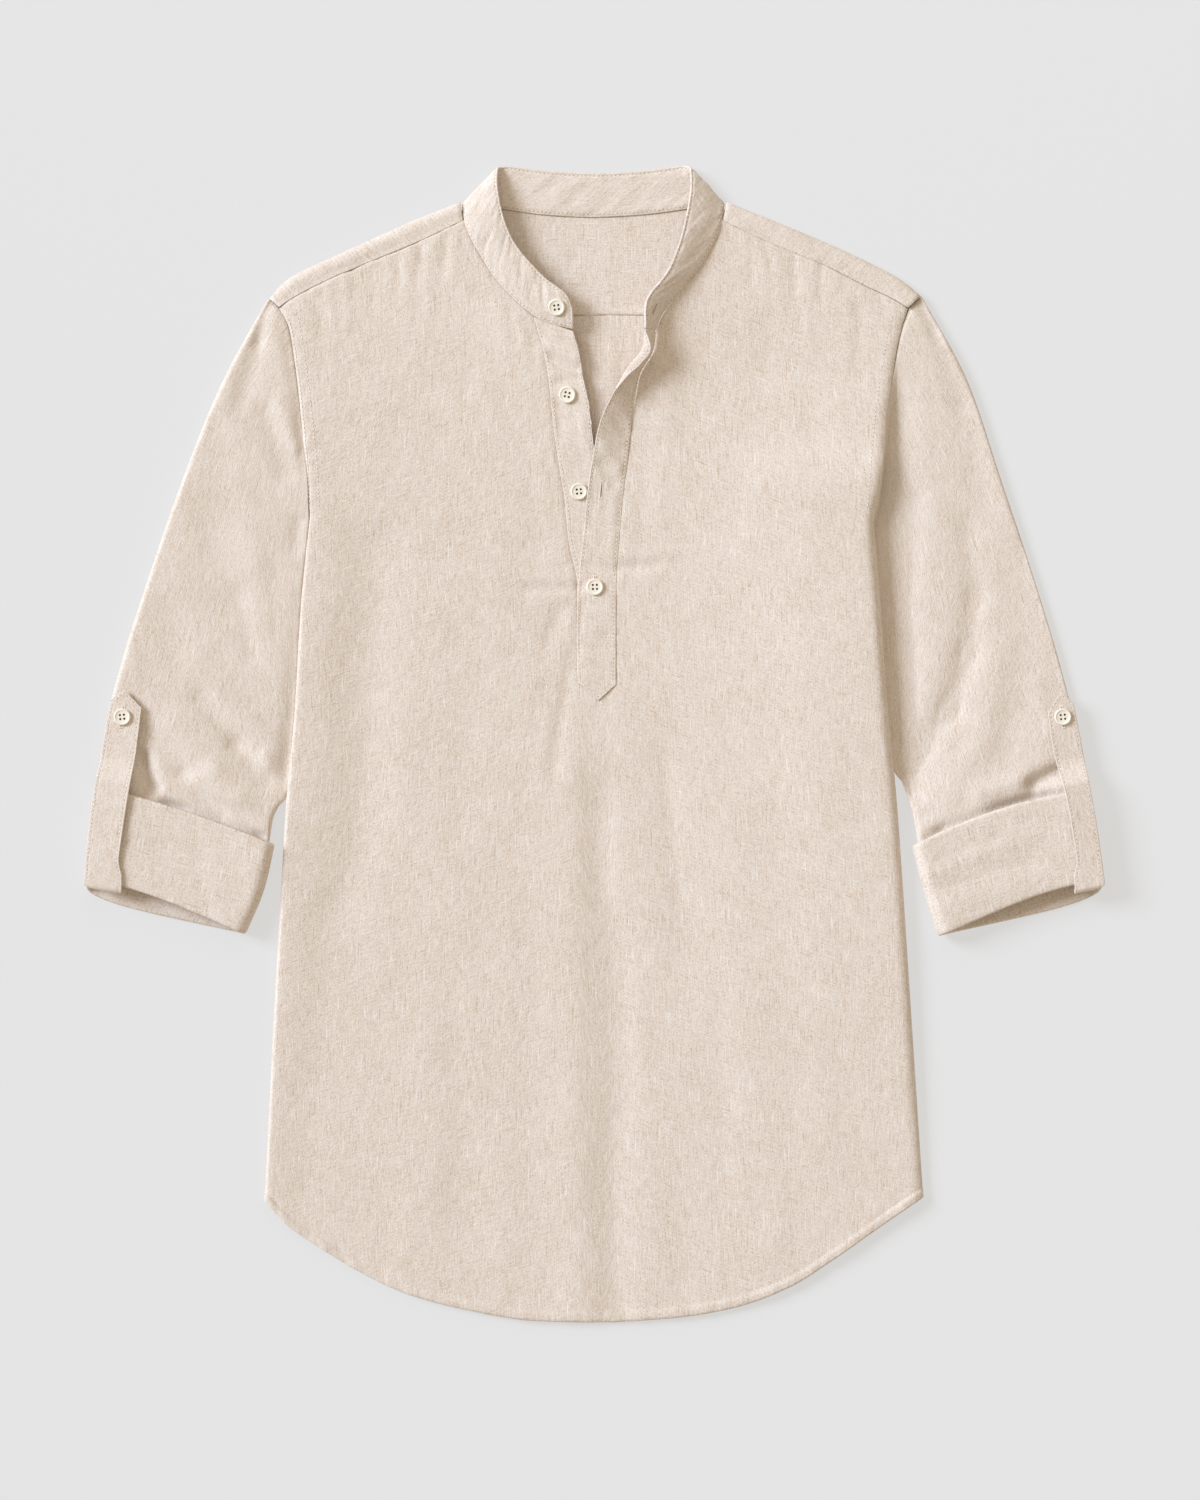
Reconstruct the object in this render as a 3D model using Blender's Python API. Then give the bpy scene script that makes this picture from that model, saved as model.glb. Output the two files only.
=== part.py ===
"""A collarless popover shirt with a standing band, laid on its back on a flat surface.

Every cut piece is a closed wall of cloth. Plan sizes and heights are in millimetres, and the meshes are in
metres. X runs across the shirt, Y from the hem up to the collar, and Z is the height over the surface.
"left" is the side of -X. A wall is a grid of points on the middle of the cloth, made thick on both sides.
"""

import math

import bmesh
import bpy
import numpy as np
from mathutils import Matrix, Vector

MM = 0.001
SEAM_GAP = 0.35          # between two pieces that are sewn together
PLACKET_LAP = 1.5        # how far the top placket lies over the front at its seam
CLOTH = 1.5              # one layer of linen with its seam allowances
DOUBLE_CLOTH = 2.0       # folded strips: plackets, tabs
BAND_CLOTH = 2.2         # two layers and a stiffener
ROLL_CLOTH = 3.0         # the turned-up sleeve end, several layers
FOLD_RADIUS = 8.0        # half-width of a soft fold, seen from above
UNDERSIDE = 4.0          # how far the front reaches inwards under its side folds, past the fold

LINEN = (0.74, 0.64, 0.54)
IVORY = (0.86, 0.80, 0.69)


def table(columns, rows):
    """The columns of a table by name; each row is one section, seam point or fold."""
    values = np.array(rows, dtype=float)
    return {name: values[:, i] for i, name in enumerate(columns.split())}


def points(rows):
    return np.array(rows, dtype=float)


# Shoulder folds, from the neck to the sleeve, and the front yoke seams below them.
SHOULDER = {
    "left": points([(-92.8, 374.8), (-125, 362), (-156, 348), (-187, 334), (-213, 320.5), (-225, 308)]),
    "right": points([(92.0, 374.8), (124, 362), (157.5, 348), (188, 334), (213, 320.5), (226, 310)]),
}
FRONT_YOKE_SEAM = {
    "left": points([(-90.6, 361.3), (-123, 346), (-154.5, 333), (-188, 318.5), (-212, 305.5), (-217.5, 301.5)]),
    "right": points([(89.4, 361.3), (108, 352), (130, 342.5), (162.5, 329), (187, 316.5), (208, 306.5), (217, 301)]),
}
BACK_YOKE_SEAM_Y = 298.0

# Armhole seams, from the shoulder tip down to the underarm point.
ARMHOLE = {
    "left": points([(-225, 308), (-217.5, 301), (-211, 288), (-207, 265), (-204, 241), (-201, 210), (-198.5, 178),
                    (-198, 154)]),
    "right": points([(226, 310), (217, 300.5), (212, 285), (207, 258), (202.5, 227), (200, 199.5), (197, 170),
                     (194, 152)]),
}

# Side folds of the body, from the underarm point to the hem corner.
SIDE_FOLD = {
    "left": points([(-198, 154), (-203, 99), (-207.5, 20), (-213, -39), (-217, -108), (-221, -177), (-228, -316)]),
    "right": points([(194, 152), (198, 99), (204, 18), (209.5, -39), (214.5, -108), (219, -177), (228, -313.5)]),
}

# The shirt-tail hem, from the left corner round to the right corner.
HEM = points([(-228, -316), (-212.5, -333), (-191.5, -347.5), (-157, -368), (-128, -381), (-88.5, -391.5),
              (-43, -399), (3, -400.5), (57.5, -397), (97.5, -390), (136, -375.5), (166, -356.5), (191.5, -338.5),
              (213, -323.5), (228, -313.5)])

# The neckline of the front, with the share of the way from the yoke seam down to the hem. Below SLIT_TOP its
# two halves follow the plackets down to SLIT_END, and then they meet.
SLIT_TOP = 0.20
UNDERARM = 0.40
SLIT_END = 0.62
NECK_EDGE = {
    "left": table("share x y", [(0, -90.6, 361.3), (0.05, -85.7, 349), (0.10, -73, 327), (0.15, -58.5, 310),
                                (SLIT_TOP, -41.8, 295.6)]),
    "right": table("share x y", [(0, 89.4, 361.3), (0.05, 82.8, 344), (0.10, 72.6, 328), (0.15, 59, 311),
                                 (SLIT_TOP, 42.0, 286)]),
}
SLIT_END_Y = 42.5
HEM_CENTRE = {"left": (-10, -400.2), "right": (15, -400.2)}

# Height of the front's upper face: along the side folds, where the seam meets the sleeve, and in the middle.
FRONT_HEIGHT = table("y fold middle", [(-400, 8, 4.8), (-316, 8, 4.8), (-200, 10.5, 4.8), (-60, 13, 5.0),
                                       (60, 14.5, 5.4), (154, 15, 6.2), (215, 10, 6.8), (300, 9.5, 7.8),
                                       (380, 9.5, 8.4)])
ARMHOLE_DROP = 2.0       # the seam lies this much below the crest beside it
FOLD_SLOPE = 26.0        # the width over which a side fold sinks to the middle height
NECK_RISE = {"x": 0.0, "y": 295.0, "reach": 80.0, "height": 3.0}

# Long soft folds of the front: a ridge has a positive height, a trough a negative one.
FRONT_FOLDS = table("x0 y0 x1 y1 width height", [
    (6, -30, 4, -400, 15, -1.0),
    (-14, -20, -13, -390, 17, 2.0),
    (-182, 125, -179, -108, 17, -1.3),
    (-179, -108, -207, -310, 15, -1.2),
    (46, -10, 67, -145, 14, -1.0),
    (95, -60, 120, -330, 24, 1.4),
    (-95, -90, -120, -330, 24, 1.3),
    (-17, 62, -28, -20, 8, -0.9),
])

# The under placket: a chord across the strip for each row, from its seam to its free edge.
UNDER_PLACKET = table("seam_x seam_y edge_x edge_y lift", [
    (-41.4, 294.6, -14.2, 284.4, 0.6), (-38.4, 284, -10.6, 272, 1.2), (-33.6, 266, -7.6, 254.8, 1.6),
    (-30.8, 247.5, -3.6, 236, 1.6), (-28, 219.5, -0.6, 212, 1.2), (-24, 192, 2.0, 190, 0.6),
    (-19.7, 165, 5.2, 165, 0.1), (-17.6, 141, 8.2, 141, 0), (-11.6, 111, 11.8, 111, 0), (-11.2, 75, 12.0, 75, 0),
    (-11.1, 43.5, 12.0, 43.5, 0)])

# The top placket: its upper end stands up and rolls open, so it is foreshortened and its edge turns back.
TOP_PLACKET = table("seam_x seam_y edge_x edge_y rise turn", [
    (42.6, 284.6, 35.0, 284.8, 19.0, 0.6), (41.8, 276, 34.6, 276, 18.5, 4.0), (39.5, 268.5, 31.5, 268.5, 17.5, 7.0),
    (35.0, 261.5, 25.0, 261.5, 16.5, 7.5), (31.4, 254.5, 20.4, 254.5, 15.5, 4.5), (29.6, 247, 16.4, 247, 14.0, 1.5),
    (28, 238, 11.8, 238, 12.5, 0),
    (25.8, 220, 3.6, 220, 9.0, 0), (24.2, 204, 0.3, 204, 6.0, 0), (20.9, 176.7, -4.1, 176.7, 2.4, 0),
    (18, 145.5, -7, 145.5, 0.5, 0), (15.6, 113.7, -10.4, 113.7, 0, 0), (15.2, 76, -11.8, 76, 0, 0),
    (15.2, 41.5, -11.1, 41.5, 0, 0)])
PLACKET_POINT = (2.8, 29.7)

# The band: its seam on the neckline and its free edge, from the left end round the back to the right end.
# "front" is 1 where the seam lies on the front, 0 where it lies on the back of the yoke.
COLLAR = table("seam_x seam_y top_x top_y front rise", [
    (-14.2, 286.2, -15.2, 305.0, 1, 5.5), (-25, 288.6, -22.5, 313.2, 1, 5.5), (-36, 292.2, -31, 318.8, 1, 5),
    (-47, 299.6, -41, 328.5, 1, 5), (-60, 312, -51, 340, 1, 5), (-70, 323.5, -58, 351, 1, 5.5),
    (-79, 338, -62.6, 363.5, 1, 6.5), (-85.6, 350, -65.4, 376, 1, 7), (-89.6, 361, -66.8, 388.5, 0.85, 5),
    (-91.2, 372.0, -66.0, 397.8, 0.4, 1.5), (-84, 372.4, -60, 399.2, 0.05, -0.5), (-63.6, 370, -46, 397.6, 0, -1),
    (-34, 366, -30, 395.8, 0, -1), (-2, 364.4, 4, 394.4, 0, -1), (32, 366, 36, 396.3, 0, -1),
    (63.6, 370, 54, 398.6, 0, -1), (83, 372.6, 61, 399.6, 0.05, 0), (90.2, 372.2, 66.2, 397.8, 0.4, 5),
    (87.8, 360.6, 66.8, 385, 0.9, 10), (86, 352.5, 65.2, 371.5, 1, 14), (82, 344, 62.8, 359.5, 1, 16),
    (77.5, 336, 60.2, 349, 1, 17), (72.4, 328, 57, 339.5, 1, 17.5), (66.5, 320.5, 52, 328, 1, 18),
    (61, 314, 45.6, 318.4, 1, 18.5), (55, 307, 38.9, 310.3, 1, 19), (50.2, 301, 35.6, 303.4, 1, 19),
    (46, 294.6, 34.8, 296.2, 1, 19), (42.6, 285.3, 35.0, 285.5, 1, 19)])

# Sleeves: a chord across the flattened tube for each row, from the outer fold to the inner fold, the height
# of its two folds and of its middle, and how far its underside is lifted by the roll under it.
SLEEVE_COLUMNS = "outer_x outer_y inner_x inner_y outer_fold middle inner_fold lift"
SLEEVE = {
    "left": table(SLEEVE_COLUMNS, [
        (-225.6, 308.2, -198.8, 153.4, 9.5, 7.6, 7.6, 0), (-257, 251, -203.8, 112, 10.5, 7.4, 6.0, 0),
        (-285, 182, -207.2, 65, 11.5, 7.0, 5.0, 0), (-309, 113, -209.4, 25, 12, 6.8, 5.0, 0),
        (-326, 60, -212.6, -20, 12, 7.0, 5.5, 0), (-337.5, 15, -215.5, -38, 12, 8.0, 7.0, 0),
        (-341, -12, -221.5, -52, 11.5, 9.0, 9.0, 0.6), (-341.2, -34, -224.8, -72, 9.4, 8.6, 9.4, 3.4),
        (-345, -72, -235, -107, 9.4, 8.6, 9.4, 3.4)]),
    "right": table(SLEEVE_COLUMNS, [
        (226.8, 310, 194.8, 151, 9.5, 7.6, 7.6, 0), (258.5, 251, 199, 106, 10.5, 7.4, 6.0, 0),
        (282, 182, 202.6, 60, 11.5, 7.0, 5.0, 0), (305, 113, 205.4, 22, 12, 6.8, 5.0, 0),
        (322, 57, 209.5, -17, 12, 7.0, 5.5, 0), (332.6, 15, 214.5, -31, 12, 8.0, 7.0, 0),
        (337, -12, 220.5, -50, 11.5, 9.0, 9.0, 0.6), (338.2, -36, 224.4, -73, 9.4, 8.6, 9.4, 3.4),
        (343.5, -74, 234, -111, 9.4, 8.6, 9.4, 3.4)]),
}

# Sleeve rolls: their top edge, their middle and their mouth.
ROLL_COLUMNS = "outer_x outer_y inner_x inner_y"
ROLL = {
    "left": table(ROLL_COLUMNS, [(-345, -29.5, -220.6, -70), (-348.7, -66, -227.5, -100), (-351.5, -97.5, -240.5, -131.5)]),
    "right": table(ROLL_COLUMNS, [(341.6, -32, 219.9, -71), (347.8, -67, 228, -103), (351.5, -97.5, 237.5, -133)]),
}
ROLL_HEIGHT = {"outer_fold": 16.2, "middle": 15.6, "inner_fold": 16.2, "lift": 0.0}
LIP_BACK = 7.0           # the upper lip of the mouth hangs back by this much, nearer the outer fold
LIP_FORWARD = 6.5        # and the lower lip reaches out by this much

# Roll-up tabs: rows from the point to the mouth, each with the outline from the outer to the inner side.
TAB_COLUMNS = "outer_x outer_y inner_x inner_y"
TAB = {
    "left": table(TAB_COLUMNS, [(-333.9, 29.4, -312.5, 24.5), (-338.6, 2.4, -315.3, 0), (-341.6, -16, -318.7, -19.5),
                                (-345.0, -34, -321.8, -37), (-348.5, -62, -325.4, -66), (-351.2, -90, -328.8, -93)]),
    "right": table(TAB_COLUMNS, [(331.2, 27.3, 313.5, 22.5), (336.0, 3, 316.2, 0), (339.6, -18, 321.5, -22),
                                 (342.6, -34, 325.6, -38), (347.4, -62, 330.6, -66), (351.2, -90, 335.0, -93)]),
}
TAB_POINT = {"left": (-324.3, 37.0), "right": (322.9, 35.9)}
TAB_RETURN = 7.0         # how far the tab goes back inside the mouth

BUTTON_RADIUS = 5.8
BUTTON_THICKNESS = 2.4
BUTTON_RIM = 1.3
BUTTON_DISH = 0.5
BUTTON_HOLE_RADIUS = 0.75
BUTTON_HOLE_SPACING = 2.6
BUTTON_SIDES = 16
BUTTON_HOLE_SIDES = 6
FRONT_BUTTONS = {"band_button": (-25.6, 301.1), "placket_button_1": (-18.3, 241.0),
                 "placket_button_2": (-10.4, 174.2), "placket_button_3": (0.7, 108.2)}
TAB_BUTTONS = {"left": (-325.6, 18.3), "right": (323.6, 18.3)}

SIGN = {"left": -1.0, "right": 1.0}


# ---------------------------------------------------------------- curves and heights

def smooth(knots, values, at):
    """A cubic through values at rising knots that never overshoots between them."""
    knots = np.asarray(knots, dtype=float)
    values = np.asarray(values, dtype=float)
    flat = values.ndim == 1
    if flat:
        values = values[:, None]
    step = np.diff(knots)[:, None]
    slope = np.diff(values, axis=0) / step
    before, after = slope[:-1], slope[1:]
    weight_a = 2 * step[1:] + step[:-1]
    weight_b = step[1:] + 2 * step[:-1]
    same_way = before * after > 0
    mean = (weight_a + weight_b) / (weight_a / np.where(same_way, before, 1) + weight_b / np.where(same_way, after, 1))
    tangent = np.vstack([slope[:1], np.where(same_way, mean, 0), slope[-1:]])
    at = np.clip(np.asarray(at, dtype=float), knots[0], knots[-1])
    i = np.clip(np.searchsorted(knots, at, side="right") - 1, 0, len(knots) - 2)
    t = ((at - knots[i]) / step[i, 0])[..., None]
    h = step[i]
    result = ((1 + 2 * t) * (1 - t) ** 2 * values[i] + t * (1 - t) ** 2 * h * tangent[i]
              + t * t * (3 - 2 * t) * values[i + 1] + t * t * (t - 1) * h * tangent[i + 1])
    return result[..., 0] if flat else result


def along(curve, share):
    """Points at shares of a curve's length."""
    run = np.concatenate([[0], np.cumsum(np.linalg.norm(np.diff(curve, axis=0), axis=1))])
    return smooth(run / run[-1], curve, share)


def rows_of(tab, columns, share):
    """A table's columns read at shares of the way from its first row to its last."""
    values = np.column_stack([tab[name] for name in columns.split()])
    return smooth(np.linspace(0, 1, len(values)), values, share)


def ease(t):
    t = np.clip(t, 0, 1)
    return t * t * (3 - 2 * t)


def fold_relief(folds, x, y):
    """Sum of soft ridges and troughs, each along a line from (x0, y0) to (x1, y1)."""
    total = np.zeros(np.broadcast(x, y).shape)
    for x0, y0, x1, y1, width, height in zip(*(folds[c] for c in "x0 y0 x1 y1 width height".split())):
        length_squared = (x1 - x0) ** 2 + (y1 - y0) ** 2
        t = np.clip(((x - x0) * (x1 - x0) + (y - y0) * (y1 - y0)) / length_squared, 0, 1)
        squared = (x - x0 - t * (x1 - x0)) ** 2 + (y - y0 - t * (y1 - y0)) ** 2
        total = total + height * np.exp(-squared / width ** 2)
    return total


def front_top(x, y, inset=1e3):
    """Height of the front's upper face, at a distance from the side fold or the armhole."""
    fold = smooth(FRONT_HEIGHT["y"], FRONT_HEIGHT["fold"], y)
    middle = smooth(FRONT_HEIGHT["y"], FRONT_HEIGHT["middle"], y)
    from_neck = (x - NECK_RISE["x"]) ** 2 + (y - NECK_RISE["y"]) ** 2
    middle = middle + NECK_RISE["height"] * np.exp(-from_neck / NECK_RISE["reach"] ** 2)
    past_fold = np.maximum(inset - FOLD_RADIUS, 0)
    near_side = np.exp(-(past_fold / FOLD_SLOPE) ** 2)
    relief = fold_relief(FRONT_FOLDS, x, y) * (1 - near_side)
    return middle + (fold - middle) * near_side + relief


def fold_section(radius, top, floor, wall, angles):
    """Insets and heights of the middle of a wall that turns round a fold, at angles from -90 to 90 degrees."""
    angle = np.radians(angles)
    half_height = (top - floor) / 2
    inset = radius - (radius - wall / 2) * np.cos(angle)
    height = floor + half_height + (half_height - wall / 2) * np.sin(angle)
    return inset, height


# ---------------------------------------------------------------- meshes

def material(name, colour, roughness):
    mat = bpy.data.materials.new(name)
    mat.use_nodes = True
    shader = mat.node_tree.nodes["Principled BSDF"]
    shader.inputs["Base Color"].default_value = (*colour, 1)
    shader.inputs["Roughness"].default_value = roughness
    shader.inputs["Metallic"].default_value = 0
    mat.diffuse_color = (*colour, 1)
    return mat


def add_object(name, mesh, colour, roughness):
    obj = bpy.data.objects.new(name, mesh)
    bpy.context.scene.collection.objects.link(obj)
    mesh.materials.clear()
    mesh.materials.append(material(name, colour, roughness))
    mesh.shade_smooth()
    mesh.set_sharp_from_angle(angle=math.radians(50))
    return obj


def grid_normals(grid, cells):
    """Unit normals at the points of a grid, from the kept cells around each."""
    normals = np.zeros_like(grid)
    rows, columns = grid.shape[:2]
    for r, c in zip(*np.nonzero(cells)):
        d = (c + 1) % columns
        a, b = grid[r, c], grid[r, d]
        e, f = grid[r + 1, d], grid[r + 1, c]
        normal = np.cross(e - a, f - b)
        for rr, cc in ((r, c), (r, d), (r + 1, d), (r + 1, c)):
            normals[rr, cc] += normal
    length = np.linalg.norm(normals, axis=2, keepdims=True)
    return normals / np.where(length > 0, length, 1)


def wall(name, grid, thickness, closed=False, cells=None, colour=LINEN, roughness=0.9):
    """A closed wall of cloth round the middle points of a grid, rows by columns, with some cells left out."""
    grid = np.asarray(grid, dtype=float)
    rows, columns = grid.shape[:2]
    if cells is None:
        cells = np.ones((rows - 1, columns if closed else columns - 1), dtype=bool)
    normals = grid_normals(grid, cells)
    half = np.asarray(thickness, dtype=float) / 2
    half = half[..., None] if half.ndim else half
    faces_of_side = {1: grid + normals * half, -1: grid - normals * half}
    mesh = bmesh.new()
    corner = {}

    def vertex(side, r, c):
        c %= columns
        if (side, r, c) not in corner:
            corner[side, r, c] = mesh.verts.new(faces_of_side[side][r, c] * MM)
        return corner[side, r, c]

    kept = {(r, c) for r, c in zip(*np.nonzero(cells))}
    wrap = columns if closed else 10 ** 6
    for r, c in sorted(kept):
        loop = ((r, c), (r, c + 1), (r + 1, c + 1), (r + 1, c))
        mesh.faces.new([vertex(1, *p) for p in loop])
        mesh.faces.new([vertex(-1, *p) for p in reversed(loop)])
        beyond = ((r - 1, c), (r, (c + 1) % wrap), (r + 1, c), (r, (c - 1) % wrap))
        for k, neighbour in enumerate(beyond):
            if neighbour not in kept:
                p, q = loop[k], loop[(k + 1) % 4]
                mesh.faces.new([vertex(1, *q), vertex(1, *p), vertex(-1, *p), vertex(-1, *q)])
    bmesh.ops.triangulate(mesh, faces=mesh.faces[:])
    if mesh.calc_volume(signed=True) < 0:
        bmesh.ops.reverse_faces(mesh, faces=mesh.faces[:])
    data = bpy.data.meshes.new(name)
    mesh.to_mesh(data)
    mesh.free()
    return add_object(name, data, colour, roughness)


# ---------------------------------------------------------------- body

ROLL_ANGLES = np.array([-90, -50, -15, 25, 60, 90])
UNDER_COLUMNS = 3        # the first of these angles that is on the upper half of a fold
FRONT_SHARES = np.array([0, 0.022, 0.05, 0.10, 0.15, SLIT_TOP, 0.26, 0.32, 0.36, UNDERARM, 0.44, 0.48, 0.53, 0.575, SLIT_END,
                         0.66, 0.70, 0.74, 0.78, 0.82, 0.86, 0.90, 0.94, 0.975, 1])
FRONT_COLUMNS = 11       # columns of a half of the front, past its side fold
STRIP_COLUMNS = 3        # columns between the two halves, below the slit


def slit_rows_y(share, top):
    """Where the rows of the front cross the slit, from its top down to its end."""
    return top + (SLIT_END_Y - top) * np.clip((share - SLIT_TOP) / (SLIT_END - SLIT_TOP), 0, 1)


def half_front(side):
    """Middle points of one half of the front, from its side seam or armhole to its inner edge."""
    sign = SIGN[side]
    v = FRONT_SHARES
    armhole = along(ARMHOLE[side][1:], v / UNDERARM)
    fold = along(SIDE_FOLD[side], (v - UNDERARM) / (1 - UNDERARM))
    outer = np.where((v < UNDERARM)[:, None], armhole, fold)
    neck = NECK_EDGE[side]
    neck = smooth(neck["share"], np.column_stack([neck["x"], neck["y"]]), v)
    placket, tuck = (UNDER_PLACKET, SEAM_GAP) if side == "left" else (TOP_PLACKET, PLACKET_LAP)
    slit_y = slit_rows_y(v, neck[-1, 1])
    slit_x = smooth(-placket["seam_y"], placket["seam_x"], -slit_y) - tuck
    down_middle = np.clip((v - SLIT_END) / (1 - SLIT_END), 0, 1)[:, None]
    slit = np.column_stack([slit_x, slit_y])
    slit = slit + (np.array(HEM_CENTRE[side]) - (slit[v == SLIT_END])) * down_middle
    inner = np.where((v < SLIT_TOP)[:, None], neck, slit)
    seam = FRONT_YOKE_SEAM[side][::-1]
    hem = HEM[:8] if side == "left" else HEM[7:][::-1]
    hem = np.vstack([hem[hem[:, 0] * sign > 20], inner[-1]])

    def spot(u, r):
        top, bottom = along(seam, u), along(hem, u)
        straight = (1 - u) * outer[r] + u * inner[r]
        ends = ((1 - v[r]) * (top - (1 - u) * seam[0] - u * seam[-1])
                + v[r] * (bottom - (1 - u) * hem[0] - u * hem[-1]))
        return straight + ends

    rows = []
    for r, share in enumerate(v):
        width = np.linalg.norm(inner[r] - outer[r])
        past = np.linspace(FOLD_RADIUS, width, FRONT_COLUMNS + 1)[1:]
        down = float(ease((share - UNDERARM + 0.12) / 0.12))
        y = outer[r, 1]
        top = float(front_top(outer[r, 0], y, 0))
        inset, height = fold_section(FOLD_RADIUS, top, 0, CLOTH, ROLL_ANGLES)
        seam_height = top - ARMHOLE_DROP * (1 - np.sin(np.radians(ROLL_ANGLES))) - CLOTH / 2
        height = down * height + (1 - down) * seam_height
        inset = np.maximum(inset - (1 - down) * inset[UNDER_COLUMNS], 0)
        stations = [(FOLD_RADIUS + UNDERSIDE, CLOTH / 2)] + list(zip(inset, height))
        row = [(*spot(a / width, r), z) for a, z in stations]
        for a in past:
            x, yy = spot(a / width, r)
            row.append((x, yy, float(front_top(x, yy, a)) - CLOTH / 2))
        rows.append(row)
    return np.array(rows)


def make_front():
    left, right = half_front("left"), half_front("right")
    between = np.linspace(0, 1, STRIP_COLUMNS + 2)[1:-1]
    strip = left[:, -1:, :] * (1 - between[None, :, None]) + right[:, -1:, :] * between[None, :, None]
    strip[:, :, 2] = front_top(strip[:, :, 0], strip[:, :, 1]) - CLOTH / 2
    grid = np.concatenate([left, strip, right[:, ::-1]], axis=1)
    cells = np.ones((grid.shape[0] - 1, grid.shape[1] - 1), dtype=bool)
    above_underarm = FRONT_SHARES[:-1] < UNDERARM - 1e-6
    cells[above_underarm, :UNDER_COLUMNS + 1] = False
    cells[above_underarm, -UNDER_COLUMNS - 1:] = False
    above_slit_end = FRONT_SHARES[:-1] < SLIT_END - 1e-6
    half = left.shape[1]
    cells[above_slit_end, half - 1:half + STRIP_COLUMNS] = False
    wall("front", grid, CLOTH, cells=cells)


def make_back():
    """The back, flat on the surface inside the folded-round edges of the front."""
    armhole_share = 0.3
    hem_gap = 1.5
    columns = 13
    rows = []
    for v in (0, 0.04, 0.09, 0.15, 0.21, 0.26, armhole_share, 0.42, 0.55, 0.70, 0.82, 0.92, 1):
        ends = []
        for side in ("left", "right"):
            sign = SIGN[side]
            armhole = ARMHOLE[side][ARMHOLE[side][:, 1] < BACK_YOKE_SEAM_Y - 4]
            armhole = np.vstack([(np.interp(BACK_YOKE_SEAM_Y, ARMHOLE[side][::-1, 1], ARMHOLE[side][::-1, 0]),
                                  BACK_YOKE_SEAM_Y - SEAM_GAP), armhole])
            if v < armhole_share:
                x, y = along(armhole, v / armhole_share)
                tuck = SEAM_GAP
            else:
                x, y = along(SIDE_FOLD[side], (v - armhole_share) / (1 - armhole_share))
                tuck = FOLD_RADIUS + UNDERSIDE + 2 * SEAM_GAP
            ends.append((x - sign * tuck, y))
        share = np.linspace(0, 1, columns)
        straight = np.outer(1 - share, ends[0]) + np.outer(share, ends[1])
        hem_y = smooth(HEM[:, 0], HEM[:, 1], straight[:, 0])
        corner_y = np.interp(share, [0, 1], [HEM[0, 1], HEM[-1, 1]])
        straight[:, 1] += (hem_y - corner_y + hem_gap) * v ** 3
        rows.append(np.column_stack([straight, np.full(columns, CLOTH / 2)]))
    wall("back", rows, CLOTH)


def make_yoke():
    """The yoke: flat under the back of the neck, folded over at each shoulder and down to the front seams."""
    flat_rows = 4
    shoulder_columns = 8
    neck_columns = 9
    back_edge = along(np.column_stack([COLLAR["seam_x"], COLLAR["seam_y"] + 1.0])[9:18], np.linspace(0, 1, 30))
    columns = []
    for side in ("left", "right"):
        shares = np.linspace(1, 0, shoulder_columns) if side == "left" else np.linspace(0, 1, shoulder_columns)
        block = []
        for share in shares:
            fold = along(SHOULDER[side], share)
            seam = along(FRONT_YOKE_SEAM[side], share)
            across = (seam - fold) / np.linalg.norm(seam - fold)
            width = np.linalg.norm(seam - fold) - SEAM_GAP
            armhole_x = np.interp(BACK_YOKE_SEAM_Y, ARMHOLE[side][::-1, 1], ARMHOLE[side][::-1, 0])
            neck_x = SHOULDER[side][0, 0]
            back = np.array([neck_x + (armhole_x - SIGN[side] * SEAM_GAP - neck_x) * share, BACK_YOKE_SEAM_Y])
            top = float(front_top(fold[0], fold[1], 0))
            end_height = float(front_top(seam[0], seam[1], 1e3 * (1 - share) + 8)) - CLOTH / 2
            inset, height = fold_section(FOLD_RADIUS * 0.8, top, 0, CLOTH, ROLL_ANGLES)
            lower = fold + across * inset[0]
            column = [(*(back + (lower - back) * k / flat_rows), CLOTH / 2) for k in range(flat_rows)]
            column += [(*(fold + across * a), z) for a, z in zip(inset, height)]
            for k in (0.5, 1.0):
                a = inset[-1] + (width - inset[-1]) * k
                z = height[-1] + (end_height - height[-1]) * ease(k)
                column.append((*(fold + across * a), float(z)))
            block.append(column)
        columns.append(block)
    total_rows = len(columns[0][0])
    neck = []
    left_x, right_x = columns[0][-1][0][0], columns[1][0][0][0]
    for x in np.linspace(left_x, right_x, neck_columns + 2)[1:-1]:
        top_y = np.interp(x, back_edge[:, 0], back_edge[:, 1])
        column = [(x, BACK_YOKE_SEAM_Y + (top_y - BACK_YOKE_SEAM_Y) * k / flat_rows, CLOTH / 2)
                  for k in range(flat_rows + 1)]
        column += [column[-1]] * (total_rows - len(column))
        neck.append(column)
    grid = np.array(columns[0] + neck + columns[1]).transpose(1, 0, 2)
    cells = np.ones((grid.shape[0] - 1, grid.shape[1] - 1), dtype=bool)
    cells[flat_rows:, shoulder_columns - 1:shoulder_columns + neck_columns] = False
    wall("yoke", grid, CLOTH, cells=cells)


# ---------------------------------------------------------------- band and plackets

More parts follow.
